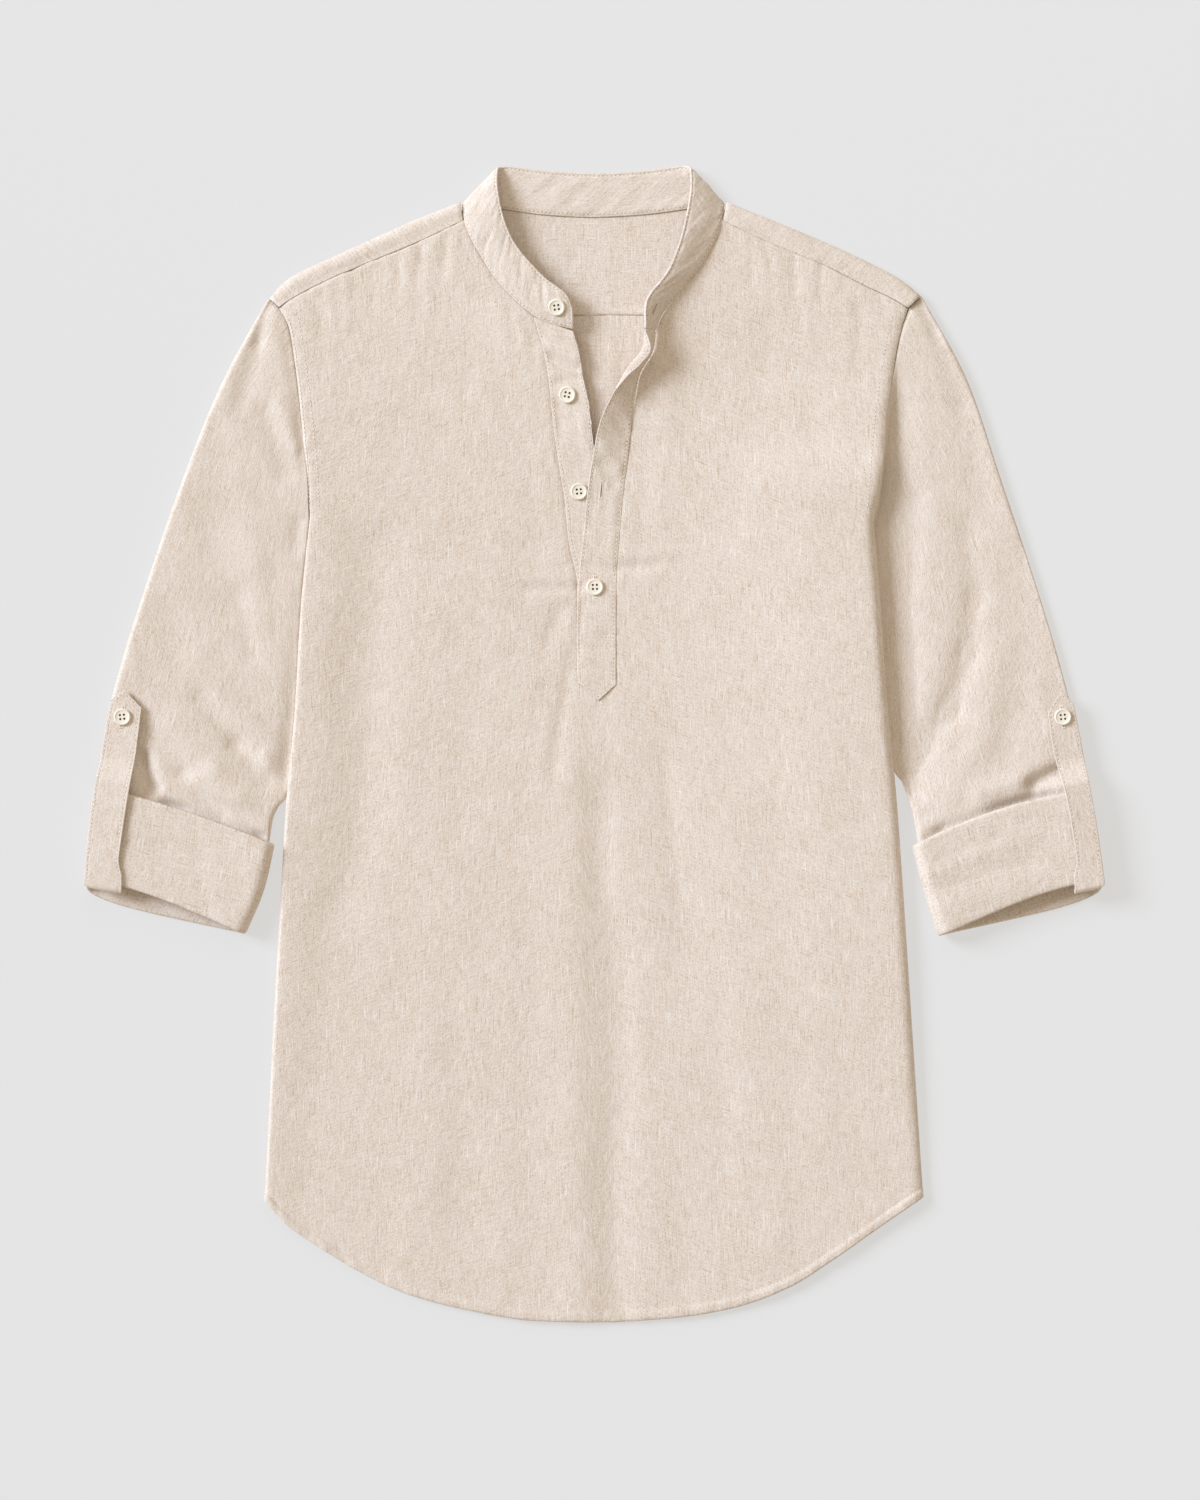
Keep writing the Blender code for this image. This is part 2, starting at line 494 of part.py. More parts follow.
def band_grid(rows=37, across=4):
    """Middle points of the band: rows round the neck, columns from the seam to the free edge."""
    share = np.linspace(0, 1, rows)
    seam_x, seam_y, top_x, top_y, front, rise = rows_of(COLLAR, "seam_x seam_y top_x top_y front rise", share).T
    on_front = front_top(seam_x, seam_y) + SEAM_GAP + 0.6 * BAND_CLOTH
    on_back = CLOTH + SEAM_GAP + 0.55 * BAND_CLOTH
    seam_z = front * on_front + (1 - front) * on_back
    grid = []
    for k in np.linspace(0, 1, across):
        bow = 1.2 * np.sin(math.pi * k) * front
        grid.append(np.column_stack([seam_x + (top_x - seam_x) * k, seam_y + (top_y - seam_y) * k,
                                     seam_z + rise * k + bow]))
    return np.array(grid).transpose(1, 0, 2)


def under_placket_grid(shares, across=4):
    """Middle points of the under placket, level with the front beside its seam, a row for each of its rows."""
    values = np.column_stack([UNDER_PLACKET[name] for name in "seam_x seam_y edge_x edge_y lift".split()])
    rows_y = slit_rows_y(shares, NECK_EDGE["left"]["y"][-1])
    seam_x, seam_y, edge_x, edge_y, lift = smooth(-UNDER_PLACKET["seam_y"], values, -rows_y).T
    grid = []
    for k in np.linspace(0, 1, across):
        x, y = seam_x + (edge_x - seam_x) * k, seam_y + (edge_y - seam_y) * k
        grid.append(np.column_stack([x, y, front_top(x, y) + lift * k * k - DOUBLE_CLOTH / 2]))
    return np.array(grid).transpose(1, 0, 2)


def top_placket_grid(rows=25, across=6):
    """Middle points of the top placket, from its seam to its free edge, which rolls open above."""
    share = np.linspace(0, 1, rows)
    values = rows_of(TOP_PLACKET, "seam_x seam_y edge_x edge_y rise turn", share)
    grid = []
    for seam_x, seam_y, edge_x, edge_y, rise, turn in values:
        base = front_top(seam_x, seam_y) + SEAM_GAP + DOUBLE_CLOTH / 2
        row = []
        for k in np.linspace(0, 1, across):
            up = min(k / 0.75, 1) if turn > 0.3 else k
            back = max(k - 0.75, 0) / 0.25 if turn > 0.3 else 0
            x = seam_x + (edge_x - seam_x) * up + turn * back
            y = seam_y + (edge_y - seam_y) * up
            lying = front_top(x, y) + SEAM_GAP + DOUBLE_CLOTH / 2
            z = max(lying, base) if rise > 1 else lying
            row.append((x, y, z + rise * up ** 0.8 + 1.5 * back))
        grid.append(row)
    tip_x, tip_y = PLACKET_POINT
    half_width = abs(grid[-1][0][0] - grid[-1][-1][0]) / 2
    end = []
    for x, y, _ in grid[-1]:
        reach = max(1 - abs(x - tip_x) / half_width, 0.02)
        end_y = y + (tip_y - y) * reach
        end.append((x, end_y, front_top(x, end_y) + SEAM_GAP + DOUBLE_CLOTH / 2))
    return np.array(grid + [end])


# ---------------------------------------------------------------- sleeves

FOLD_STEPS = np.array([-90, -45, 0, 45, 90])
TUBE_TOP_COLUMNS = 11
TUBE_BOTTOM_COLUMNS = 6


def tube_row(outer, inner, heights, thickness):
    """One row of a flattened tube, round from the lower outer side, and its insets from the outer fold."""
    outer_fold, middle, inner_fold, lift = heights
    width = np.linalg.norm(inner - outer)
    radius = min(FOLD_RADIUS, width / 4)
    out_inset, out_z = fold_section(radius, outer_fold + lift, lift, thickness, FOLD_STEPS)
    in_inset, in_z = fold_section(radius, inner_fold + lift, lift, thickness, FOLD_STEPS[::-1])
    stations = list(zip(out_inset, out_z))
    for k in np.linspace(0, 1, TUBE_TOP_COLUMNS + 2)[1:-1]:
        a = radius + (width - 2 * radius) * k
        z = (middle + (outer_fold - middle) * math.exp(-((a - radius) / FOLD_SLOPE) ** 2)
             + (inner_fold - middle) * math.exp(-((width - radius - a) / FOLD_SLOPE) ** 2))
        stations.append((a, z + lift - thickness / 2))
    stations += [(width - a, z) for a, z in zip(in_inset, in_z)]
    for k in np.linspace(1, 0, TUBE_BOTTOM_COLUMNS + 2)[1:-1]:
        stations.append((radius + (width - 2 * radius) * k, lift + thickness / 2))
    inset = np.array([a for a, _ in stations])
    plan = outer + np.outer(inset / width, inner - outer)
    return np.column_stack([plan, [z for _, z in stations]]), inset / width


def make_sleeve(side, rows=15):
    armhole = ARMHOLE[side] + np.array([SIGN[side] * 3 * SEAM_GAP, 0])
    grid = []
    for share in np.linspace(0, 1, rows):
        values = rows_of(SLEEVE[side], SLEEVE_COLUMNS, share)
        outer, inner = values[0:2], values[2:4]
        row, across = tube_row(outer, inner, values[4:], CLOTH)
        fade = max(1 - share / 0.3, 0) ** 2
        bulge = along(armhole, across) - armhole[0] - np.outer(across, armhole[-1] - armhole[0])
        row[:, :2] += bulge * fade
        grid.append(row)
    wall("sleeve_" + side, grid, CLOTH, closed=True)


def make_roll(side, rows=5):
    """The turned-up end of a sleeve, whose upper lip hangs back and whose lower lip reaches out."""
    heights = [ROLL_HEIGHT[name] for name in ("outer_fold", "middle", "inner_fold", "lift")]
    grid = []
    for share in np.linspace(0, 1, rows):
        values = rows_of(ROLL[side], ROLL_COLUMNS, share)
        outer, inner = values[0:2], values[2:4]
        row, across = tube_row(outer, inner, heights, ROLL_CLOTH)
        down = np.array([(inner - outer)[1], -(inner - outer)[0]]) * SIGN[side] * -1
        down = down / np.linalg.norm(down)
        upper = ease((row[:, 2] - ROLL_CLOTH) / (ROLL_HEIGHT["middle"] - 2 * ROLL_CLOTH))
        back = -LIP_BACK * np.sin(math.pi * np.clip(across, 0, 1) ** 0.6)
        forward = LIP_FORWARD * np.sin(math.pi * np.clip(across, 0, 1) ** 0.45)
        shift = (back * upper + forward * (1 - upper)) * share ** 1.5
        row[:, :2] += np.outer(shift, down)
        grid.append(row)
    wall("sleeve_roll_" + side, grid, ROLL_CLOTH, closed=True, roughness=0.9)


def tab_grid(side, across=4):
    """Middle points of a tab: its point, along the sleeve, up over the roll, round the lip and inside."""
    half = DOUBLE_CLOTH / 2
    droop = 0.3
    low = SLEEVE[side]["outer_fold"].max() + SEAM_GAP + droop + half
    high = ROLL_HEIGHT["outer_fold"] + SEAM_GAP + droop + half
    shares = np.array([0, 0.12, 0.25, 0.36, 0.44, 0.52, 0.62, 0.75, 0.88, 1])
    rows = []
    for share in shares:
        values = rows_of(TAB[side], TAB_COLUMNS, share)
        outer, inner = values[0:2], values[2:4]
        z = low + (high - low) * float(ease((share - 0.30) / 0.22))
        rows.append([(*(outer + (inner - outer) * k), z - droop * (1 - k) ** 2) for k in np.linspace(0, 1, across)])
    first = np.array(rows[0])
    tip = np.array(TAB_POINT[side])
    width = np.linalg.norm(first[-1, :2] - first[0, :2])
    head = []
    for x, y, z in first:
        place = np.linalg.norm((x, y) - first[0, :2]) / width
        reach = 1 - abs(place - 0.5) / 0.5
        middle = first[0, :2] + (first[-1, :2] - first[0, :2]) * 0.5
        head.append((*(np.array([x, y]) + (tip - middle) * max(reach, 0.04)), z))
    rows.insert(0, head)
    last = np.array(rows[-1])
    down = last[:, :2] - np.array(rows[-2])[:, :2]
    down = down / np.linalg.norm(down, axis=1, keepdims=True)
    inside = ROLL_HEIGHT["outer_fold"] - ROLL_CLOTH - SEAM_GAP - half
    centre = (high + inside) / 2
    radius = (high - inside) / 2
    lip = 6.5
    trim = 0.52                            # the share of the width cut away inside, clear of the sleeve's fold
    for angle, cut in ((90, 0), (45, 0.1), (0, 0.6), (-45, 1), (-90, 1), (-180, 1)):
        if angle == -180:
            reach, z = lip - TAB_RETURN, inside
        else:
            reach = lip + radius * math.cos(math.radians(angle))
            z = centre + radius * math.sin(math.radians(angle))
        kept = np.linspace(trim * cut, 1, across)[:, None]
        line = last[0, :2] + (last[-1, :2] - last[0, :2]) * kept
        rows.append([(*(p + d * reach), z) for p, d in zip(line, down)])
    return np.array(rows)


# ---------------------------------------------------------------- buttons

def button_mesh():
    """A four-hole button with a raised rim and a dished middle, round Z, its flat back at Z = 0."""
    profile = [(0, 0), (BUTTON_RADIUS - 0.4, 0), (BUTTON_RADIUS, 0.9), (BUTTON_RADIUS, BUTTON_THICKNESS - 0.5),
               (BUTTON_RADIUS - 0.5, BUTTON_THICKNESS), (BUTTON_RADIUS - BUTTON_RIM, BUTTON_THICKNESS - 0.1),
               (BUTTON_RADIUS - BUTTON_RIM - 0.6, BUTTON_THICKNESS - BUTTON_DISH), (0, BUTTON_THICKNESS - BUTTON_DISH)]
    disc = bmesh.new()
    line = [disc.verts.new((r * MM, 0, z * MM)) for r, z in profile]
    edges = [disc.edges.new(pair) for pair in zip(line, line[1:])]
    bmesh.ops.spin(disc, geom=line + edges, cent=(0, 0, 0), axis=(0, 0, 1), angle=2 * math.pi,
                   steps=BUTTON_SIDES, use_merge=True)
    bmesh.ops.remove_doubles(disc, verts=disc.verts[:], dist=0.01 * MM)
    bmesh.ops.recalc_face_normals(disc, faces=disc.faces[:])
    mesh = bpy.data.meshes.new("button_disc")
    disc.to_mesh(mesh)
    disc.free()
    holes = bmesh.new()
    for x in (-1, 1):
        for y in (-1, 1):
            place = Matrix.Translation((x * BUTTON_HOLE_SPACING / 2 * MM, y * BUTTON_HOLE_SPACING / 2 * MM,
                                        BUTTON_THICKNESS / 2 * MM))
            bmesh.ops.create_cone(holes, cap_ends=True, segments=BUTTON_HOLE_SIDES, radius1=BUTTON_HOLE_RADIUS * MM,
                                  radius2=BUTTON_HOLE_RADIUS * MM, depth=3 * BUTTON_THICKNESS * MM, matrix=place)
    cutter_mesh = bpy.data.meshes.new("button_holes")
    holes.to_mesh(cutter_mesh)
    holes.free()
    disc_object = bpy.data.objects.new("button_disc", mesh)
    cutter = bpy.data.objects.new("button_holes", cutter_mesh)
    for obj in (disc_object, cutter):
        bpy.context.scene.collection.objects.link(obj)
    cut = disc_object.modifiers.new("holes", "BOOLEAN")
    cut.operation = "DIFFERENCE"
    cut.object = cutter
    bpy.context.view_layer.update()
    graph = bpy.context.evaluated_depsgraph_get()
    finished = bpy.data.meshes.new_from_object(disc_object.evaluated_get(graph))
    for obj in (disc_object, cutter):
        bpy.data.objects.remove(obj, do_unlink=True)
    return finished


def seat_on(grid, thickness, x, y):
    """The point and the normal of a wall's upper face under a place in plan."""
    cells = np.ones((grid.shape[0] - 1, grid.shape[1] - 1), dtype=bool)
    normals = grid_normals(grid, cells)
    normals = normals * np.sign(normals[..., 2:3] + 1e-9)
    distance = np.hypot(grid[..., 0] - x, grid[..., 1] - y)
    nearest = np.argsort(distance.ravel())[:4]
    weight = 1 / (distance.ravel()[nearest] + 0.5)
    weight = weight / weight.sum()
    normal = (normals.reshape(-1, 3)[nearest] * weight[:, None]).sum(axis=0)
    normal = normal / np.linalg.norm(normal)
    near = grid.reshape(-1, 3)[nearest]
    z = np.mean([p[2] - (normal[0] * (x - p[0]) + normal[1] * (y - p[1])) / normal[2] for p in near])
    return np.array([x, y, z]) + normal * thickness / 2, normal


def place_button(name, mesh, grid, thickness, x, y, clear):
    point, normal = seat_on(grid, thickness, x, y)
    obj = add_object(name, mesh.copy(), IVORY, 0.35)
    obj.rotation_mode = "QUATERNION"
    obj.rotation_quaternion = Vector((0, 0, 1)).rotation_difference(Vector(normal))
    obj.location = Vector((point + normal * clear) * MM)
    return obj


# ---------------------------------------------------------------- the shirt

def main():
    for obj in list(bpy.data.objects):
        bpy.data.objects.remove(obj, do_unlink=True)
    make_front()
    make_back()
    make_yoke()
    in_slit = FRONT_SHARES[(FRONT_SHARES >= SLIT_TOP) & (FRONT_SHARES <= SLIT_END)]
    band, under, top = band_grid(), under_placket_grid(in_slit), top_placket_grid()
    wall("collar_band", band, BAND_CLOTH)
    wall("under_placket", under, DOUBLE_CLOTH)
    wall("top_placket", top, DOUBLE_CLOTH)
    tabs = {}
    for side in ("left", "right"):
        make_sleeve(side)
        make_roll(side)
        tabs[side] = tab_grid(side)
        wall("tab_" + side, tabs[side], DOUBLE_CLOTH)
    button = button_mesh()
    carriers = {"band_button": (band, BAND_CLOTH), "placket_button_1": (under, DOUBLE_CLOTH),
                "placket_button_2": (under, DOUBLE_CLOTH), "placket_button_3": (top, DOUBLE_CLOTH)}
    for name, (x, y) in FRONT_BUTTONS.items():
        place_button(name, button, *carriers[name], x, y, SEAM_GAP)
    for side, (x, y) in TAB_BUTTONS.items():
        place_button("tab_button_" + side, button, tabs[side][:6], DOUBLE_CLOTH, x, y, SEAM_GAP)


main()
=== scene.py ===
"""The looks of a linen popover shirt with a standing band, laid on its back on a flat surface.

Plan sizes and heights are in millimetres, and the meshes are in metres. X runs across the shirt, Y from the
hem up to the collar, and Z is the height over the surface. "left" is the side of -X. Each cloth piece is a
thin shell round a grid of points on the middle of the cloth, with its creases and puckers worked into it.
"""

import math

import bmesh
import bpy
import numpy as np
from mathutils import Matrix, Vector, noise


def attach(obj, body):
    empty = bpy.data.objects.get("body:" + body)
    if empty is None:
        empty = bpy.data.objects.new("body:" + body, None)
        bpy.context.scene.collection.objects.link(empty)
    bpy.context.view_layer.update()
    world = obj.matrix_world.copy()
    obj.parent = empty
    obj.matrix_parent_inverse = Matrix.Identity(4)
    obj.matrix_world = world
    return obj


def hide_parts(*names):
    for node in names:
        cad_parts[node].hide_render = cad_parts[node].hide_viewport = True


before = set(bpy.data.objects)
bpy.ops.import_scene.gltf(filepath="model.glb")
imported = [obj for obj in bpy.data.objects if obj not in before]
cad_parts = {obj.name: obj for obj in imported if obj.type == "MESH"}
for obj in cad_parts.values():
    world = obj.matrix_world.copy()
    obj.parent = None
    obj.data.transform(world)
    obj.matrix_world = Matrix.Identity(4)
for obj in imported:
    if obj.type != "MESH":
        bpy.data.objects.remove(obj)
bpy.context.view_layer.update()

MM = 0.001
TINY = 1e-9
FAR = 1e3                # an inset past every fold
SEAM_GAP = 0.35          # between two pieces that are sewn together
PLACKET_LAP = 1.5        # how far the front reaches in under each placket
NECK_LAP = 2.0           # how far the front reaches in under the band
CLOTH = 1.5              # the room that one layer of linen has, seams included
DOUBLE_CLOTH = 2.0       # the under placket, and the room that a tab has
BAND_CLOTH = 2.2
ROLL_CLOTH = 3.0
LINEN_THICKNESS = 0.9    # the shown shell of one layer
TOP_CLOTH = 0.8          # two pressed layers of the top placket and the tabs
PLACKET_SEAT = 0.4       # from the front up to the middle of the top placket
HEM_THICKNESS = 1.7      # twice-turned hem
HEM_WIDTH = 6.5
FOLD_RADIUS = 8.0
FOLD_REACH = {"left": 4.0, "right": 8.5}    # how far in from a side fold its upper half rounds over
UNDERSIDE = 4.0          # how far the front lies on under the shirt, past the turn of its side folds

SIGN = {"left": -1.0, "right": 1.0}


def table(columns, rows):
    """The columns of a table by name; each row is one section, seam point or fold."""
    values = np.array(rows, dtype=float)
    return {name: values[:, i] for i, name in enumerate(columns.split())}


def points(rows):
    """Rows of X and Y."""
    return np.array(rows, dtype=float)


# ---------------------------------------------------------------- cut lines

SHOULDER = {
    "left": points([(-92.8, 374.8), (-125, 362), (-156, 348), (-187, 334), (-213, 320.5), (-225, 308)]),
    "right": points([(92.0, 374.8), (124, 362), (157.5, 348), (188, 334), (213, 320.5), (226, 310)]),
}
FRONT_YOKE_SEAM = {
    "left": points([(-90.6, 361.3), (-123, 346), (-154.5, 333), (-188, 318.5), (-212, 305.5),
                    (-217.5, 301.5)]),
    "right": points([(89.4, 361.3), (108, 352), (130, 342.5), (162.5, 329), (187, 316.5), (208, 306.5),
                     (217, 301)]),
}
BACK_YOKE_SEAM_Y = 298.0
ARMHOLE = {
    "left": points([(-225, 308), (-217.5, 301), (-211, 288), (-207, 265), (-204, 241), (-201, 210),
                    (-198.5, 178), (-198, 154)]),
    "right": points([(226, 310), (217, 300.5), (212, 285), (207, 258), (202.5, 227), (200, 199.5), (197, 170),
                     (194, 152)]),
}
SIDE_FOLD = {
    "left": points([(-198, 154), (-203, 99), (-207.5, 20), (-213, -39), (-217, -108), (-221, -177),
                    (-228, -316)]),
    "right": points([(194, 152), (198, 99), (204, 18), (209.5, -39), (214.5, -108), (219, -177),
                     (228, -313.5)]),
}
HEM = points([(-228, -316), (-212.5, -333), (-191.5, -347.5), (-157, -368), (-128, -381), (-88.5, -391.5),
              (-43, -399), (3, -400.5), (57.5, -397), (97.5, -390), (136, -375.5), (166, -356.5),
              (191.5, -338.5), (213, -323.5), (228, -313.5)])
HEM_MIDDLE = 7           # the row of the hem's lowest point, where the halves of the front meet

# Shares of the front's rows, from the yoke seam down to the hem, at its landmarks.
SLIT_TOP = 0.20
UNDERARM = 0.40
SLIT_END = 0.62
NECK_EDGE = {
    "left": table("share x y", [(0, -90.6, 361.3), (0.05, -85.7, 349), (0.10, -73, 327), (0.15, -58.5, 310),
                                (SLIT_TOP, -41.8, 295.6)]),
    "right": table("share x y", [(0, 89.4, 361.3), (0.05, 82.8, 344), (0.10, 72.6, 328), (0.15, 59, 311),
                                 (SLIT_TOP, 42.0, 286)]),
}
NECK_CENTRE = (0, 345)
SLIT_END_Y = 42.5
HEM_CENTRE = {"left": (-10, -400.2), "right": (15, -400.2)}
FRONT_HEIGHT = table("y fold middle", [(-400, 8, 4.8), (-316, 8, 4.8), (-200, 10.5, 4.8), (-60, 13, 5.0),
                                       (60, 14.5, 5.4), (154, 15, 6.2), (215, 10, 6.8), (300, 9.5, 7.8),
                                       (380, 9.5, 8.4)])
SIDE_SHARE = {           # how much of its room each side fold takes up
    "left": table("y share", [(-400, 0.35), (-60, 0.35), (0, 0.25), (60, 0.28), (154, 0.22), (215, 0.3),
                              (380, 0.35)]),
    "right": table("y share", [(-400, 0.9), (-60, 0.95), (30, 1.15), (154, 1.15), (200, 1.9), (235, 1.5),
                               (265, 0.6), (380, 0.3)]),
}
SIDE_SLOPE = {"left": 40.0, "right": 105.0}      # how far in the rise towards a side fold begins
SIDE_FADE = 20.0         # how far in from a side fold the creases of the front reach their full depth
NECK_RISE = {"x": 0.0, "y": 295.0, "reach": 80.0, "height": 3.0}
ARMHOLE_DROP = 2.0       # how far the front's edge turns down at the armhole
ARMHOLE_LAP = 1.0
FOLD_SLOPE = 26.0        # how far in the rise towards a sleeve's fold begins

UNDER_PLACKET = table("seam_x seam_y edge_x edge_y lift", [
    (-41.4, 294.6, -14.2, 284.4, 0.6), (-38.4, 284, -10.6, 272, 1.2), (-33.6, 266, -7.6, 254.8, 1.6),
    (-30.8, 247.5, -3.6, 236, 1.6), (-28, 219.5, -0.6, 212, 1.2), (-24, 192, 2.0, 190, 0.6),
    (-19.7, 165, 5.2, 165, 0.1), (-17.6, 141, 8.2, 141, 0), (-11.6, 111, 11.8, 111, 0),
    (-11.2, 75, 12.0, 75, 0), (-11.1, 43.5, 12.0, 43.5, 0)])
TOP_PLACKET = table("seam_x seam_y edge_x edge_y rise turn", [
    (42.6, 284.6, 35.0, 284.8, 19.0, 0.6), (41.8, 276, 34.6, 276, 18.5, 4.0),
    (39.5, 268.5, 31.5, 268.5, 17.5, 7.0), (35.0, 261.5, 25.0, 261.5, 16.5, 7.5),
    (31.4, 254.5, 20.4, 254.5, 15.5, 4.5), (29.6, 247, 16.4, 247, 14.0, 1.5), (28, 238, 11.8, 238, 12.5, 0),
    (25.8, 220, 3.6, 220, 9.0, 0), (24.2, 204, 0.3, 204, 6.0, 0), (20.9, 176.7, -4.1, 176.7, 2.4, 0),
    (18, 145.5, -7, 145.5, 0.5, 0), (15.6, 113.7, -10.4, 113.7, 0, 0), (15.2, 76, -11.8, 76, 0, 0),
    (15.2, 41.5, -11.1, 41.5, 0, 0)])
PLACKET_POINT = (2.8, 29.7)
PLACKET_POINT_STEPS = (0.06, 0.12, 0.18, 0.26, 0.36, 0.48, 0.6, 0.7, 0.78, 0.85, 0.91, 0.96, 1)
COLLAR = table("seam_x seam_y top_x top_y front rise", [
    (-14.2, 286.2, -15.2, 305.0, 1, 5.5), (-25, 288.6, -22.5, 313.2, 1, 5.5), (-36, 292.2, -31, 318.8, 1, 5),
    (-47, 299.6, -41, 328.5, 1, 5), (-60, 312, -51, 340, 1, 5), (-70, 323.5, -58, 351, 1, 5.5),
    (-79, 338, -62.6, 363.5, 1, 6.5), (-85.6, 350, -65.4, 376, 1, 7), (-89.6, 361, -66.8, 388.5, 0.85, 5),
    (-91.2, 372.0, -66.0, 397.8, 0.4, 1.5), (-84, 372.4, -60, 399.2, 0.05, -0.5),
    (-63.6, 370, -46, 397.6, 0, -1), (-34, 366, -30, 395.8, 0, -1), (-2, 364.4, 4, 394.4, 0, -1),
    (32, 366, 36, 396.3, 0, -1),
    (63.6, 370, 54, 398.6, 0, -1), (83, 372.6, 61, 399.6, 0.05, 0), (90.2, 372.2, 66.2, 397.8, 0.4, 5),
    (87.8, 360.6, 66.8, 385, 0.9, 10), (86, 352.5, 65.2, 371.5, 1, 14), (82, 344, 62.8, 359.5, 1, 16),
    (77.5, 336, 60.2, 349, 1, 17), (72.4, 328, 57, 339.5, 1, 17.5), (66.5, 320.5, 52, 328, 1, 18),
    (61, 314, 45.6, 318.4, 1, 18.5), (55, 307, 38.9, 310.3, 1, 19), (50.2, 301, 35.6, 303.4, 1, 19),
    (46, 294.6, 34.8, 296.2, 1, 19), (42.6, 285.3, 35.0, 285.5, 1, 19)])
BACK_OF_COLLAR = slice(9, 18)    # the collar's rows that are sewn to the yoke

SLEEVE_COLUMNS = "outer_x outer_y inner_x inner_y outer_fold middle inner_fold lift"
SLEEVE = {
    "left": table(SLEEVE_COLUMNS, [
        (-225.6, 308.2, -198.8, 153.4, 9.5, 7.6, 8.0, 0), (-257, 251, -203.8, 112, 10.5, 7.4, 7.8, 0),
        (-285, 182, -207.2, 65, 11.5, 7.0, 7.4, 0), (-309, 113, -209.4, 25, 12, 6.8, 7.0, 0),
        (-326, 60, -212.6, -20, 12, 7.0, 6.5, 0), (-337.5, 15, -215.5, -38, 12, 8.0, 7.0, 0),
        (-341, -12, -221.5, -52, 11.5, 9.0, 9.0, 0.6), (-341.2, -34, -224.8, -72, 9.4, 8.6, 9.4, 3.4),
        (-345, -72, -235, -107, 9.4, 8.6, 9.4, 3.4)]),
    "right": table(SLEEVE_COLUMNS, [
        (226.8, 310, 194.8, 151, 9.5, 7.6, 7.6, 0), (258.5, 251, 199, 106, 10.5, 7.4, 6.0, 0),
        (282, 182, 202.6, 60, 11.5, 7.0, 5.0, 0), (305, 113, 205.4, 22, 12, 6.8, 5.0, 0),
        (322, 57, 209.5, -17, 12, 7.0, 5.5, 0), (332.6, 15, 214.5, -31, 12, 8.0, 7.0, 0),
        (337, -12, 220.5, -50, 11.5, 9.0, 9.0, 0.6), (338.2, -36, 224.4, -73, 9.4, 8.6, 9.4, 3.4),
        (343.5, -74, 234, -111, 9.4, 8.6, 9.4, 3.4)]),
}
ROLL_COLUMNS = "outer_x outer_y inner_x inner_y"
ROLL = {
    "left": table(ROLL_COLUMNS, [(-345, -29.5, -220.6, -70), (-348.7, -66, -227.5, -100),
                                 (-351.5, -97.5, -240.5, -131.5)]),
    "right": table(ROLL_COLUMNS, [(341.6, -32, 219.9, -71), (347.8, -67, 228, -103),
                                  (351.5, -97.5, 237.5, -133)]),
}
ROLL_HEIGHT = {"outer_fold": 16.2, "middle": 15.6, "inner_fold": 16.2, "lift": 0.0}
LIP_BACK = 7.0           # how far the upper lip of a roll hangs back at its middle
LIP_FORWARD = 6.5        # and how far its lower lip reaches out
TAB_COLUMNS = ROLL_COLUMNS
TAB = {
    "left": table(TAB_COLUMNS, [(-333.9, 29.4, -312.5, 24.5), (-338.6, 2.4, -315.3, 0),
                                (-341.6, -16, -318.3, -19.5), (-345.0, -34, -321.2, -37),
                                (-348.5, -62, -325.6, -66), (-351.2, -90, -329.4, -93)]),
    "right": table(TAB_COLUMNS, [(331.2, 27.3, 313.5, 22.5), (336.0, 3, 316.2, 0), (339.6, -18, 321.5, -22),
                                 (342.6, -34, 325.6, -38), (347.4, -62, 330.6, -66),
                                 (351.2, -90, 335.0, -93)]),
}
TAB_POINT = {"left": (-324.3, 37.0), "right": (322.9, 35.9)}
TAB_WIDTH = {"left": 23.0, "right": 18.0}
TAB_RETURN = 7.0         # how far a tab goes on inside the roll
FRONT_BUTTONS = {"band_button": (-25.6, 301.1), "placket_button_1": (-18.3, 241.0),
                 "placket_button_2": (-10.4, 174.2), "placket_button_3": (0.7, 108.2)}
TAB_BUTTONS = {"left": (-325.6, 18.3), "right": (323.6, 18.3)}

# ---------------------------------------------------------------- folds and creases

FOLD_COLUMNS = "x0 y0 x1 y1 width height"
FRONT_FOLDS = table(FOLD_COLUMNS, [
    (3, -40, 15, -400, 17, -0.95),
    (-15, -20, -7, -390, 18, 1.1),
    (-163, 132, -171, -108, 18, -1.2),
    (-179, -108, -207, -310, 15, -0.74),
    (46, -10, 67, -145, 14, -0.62),
    (95, -60, 120, -330, 24, 0.87),
    (-95, -90, -120, -330, 24, 0.81),
    (-17, 62, -28, -20, 9, -0.3),
    (-146, 140, -152, -60, 18, -0.9),
])

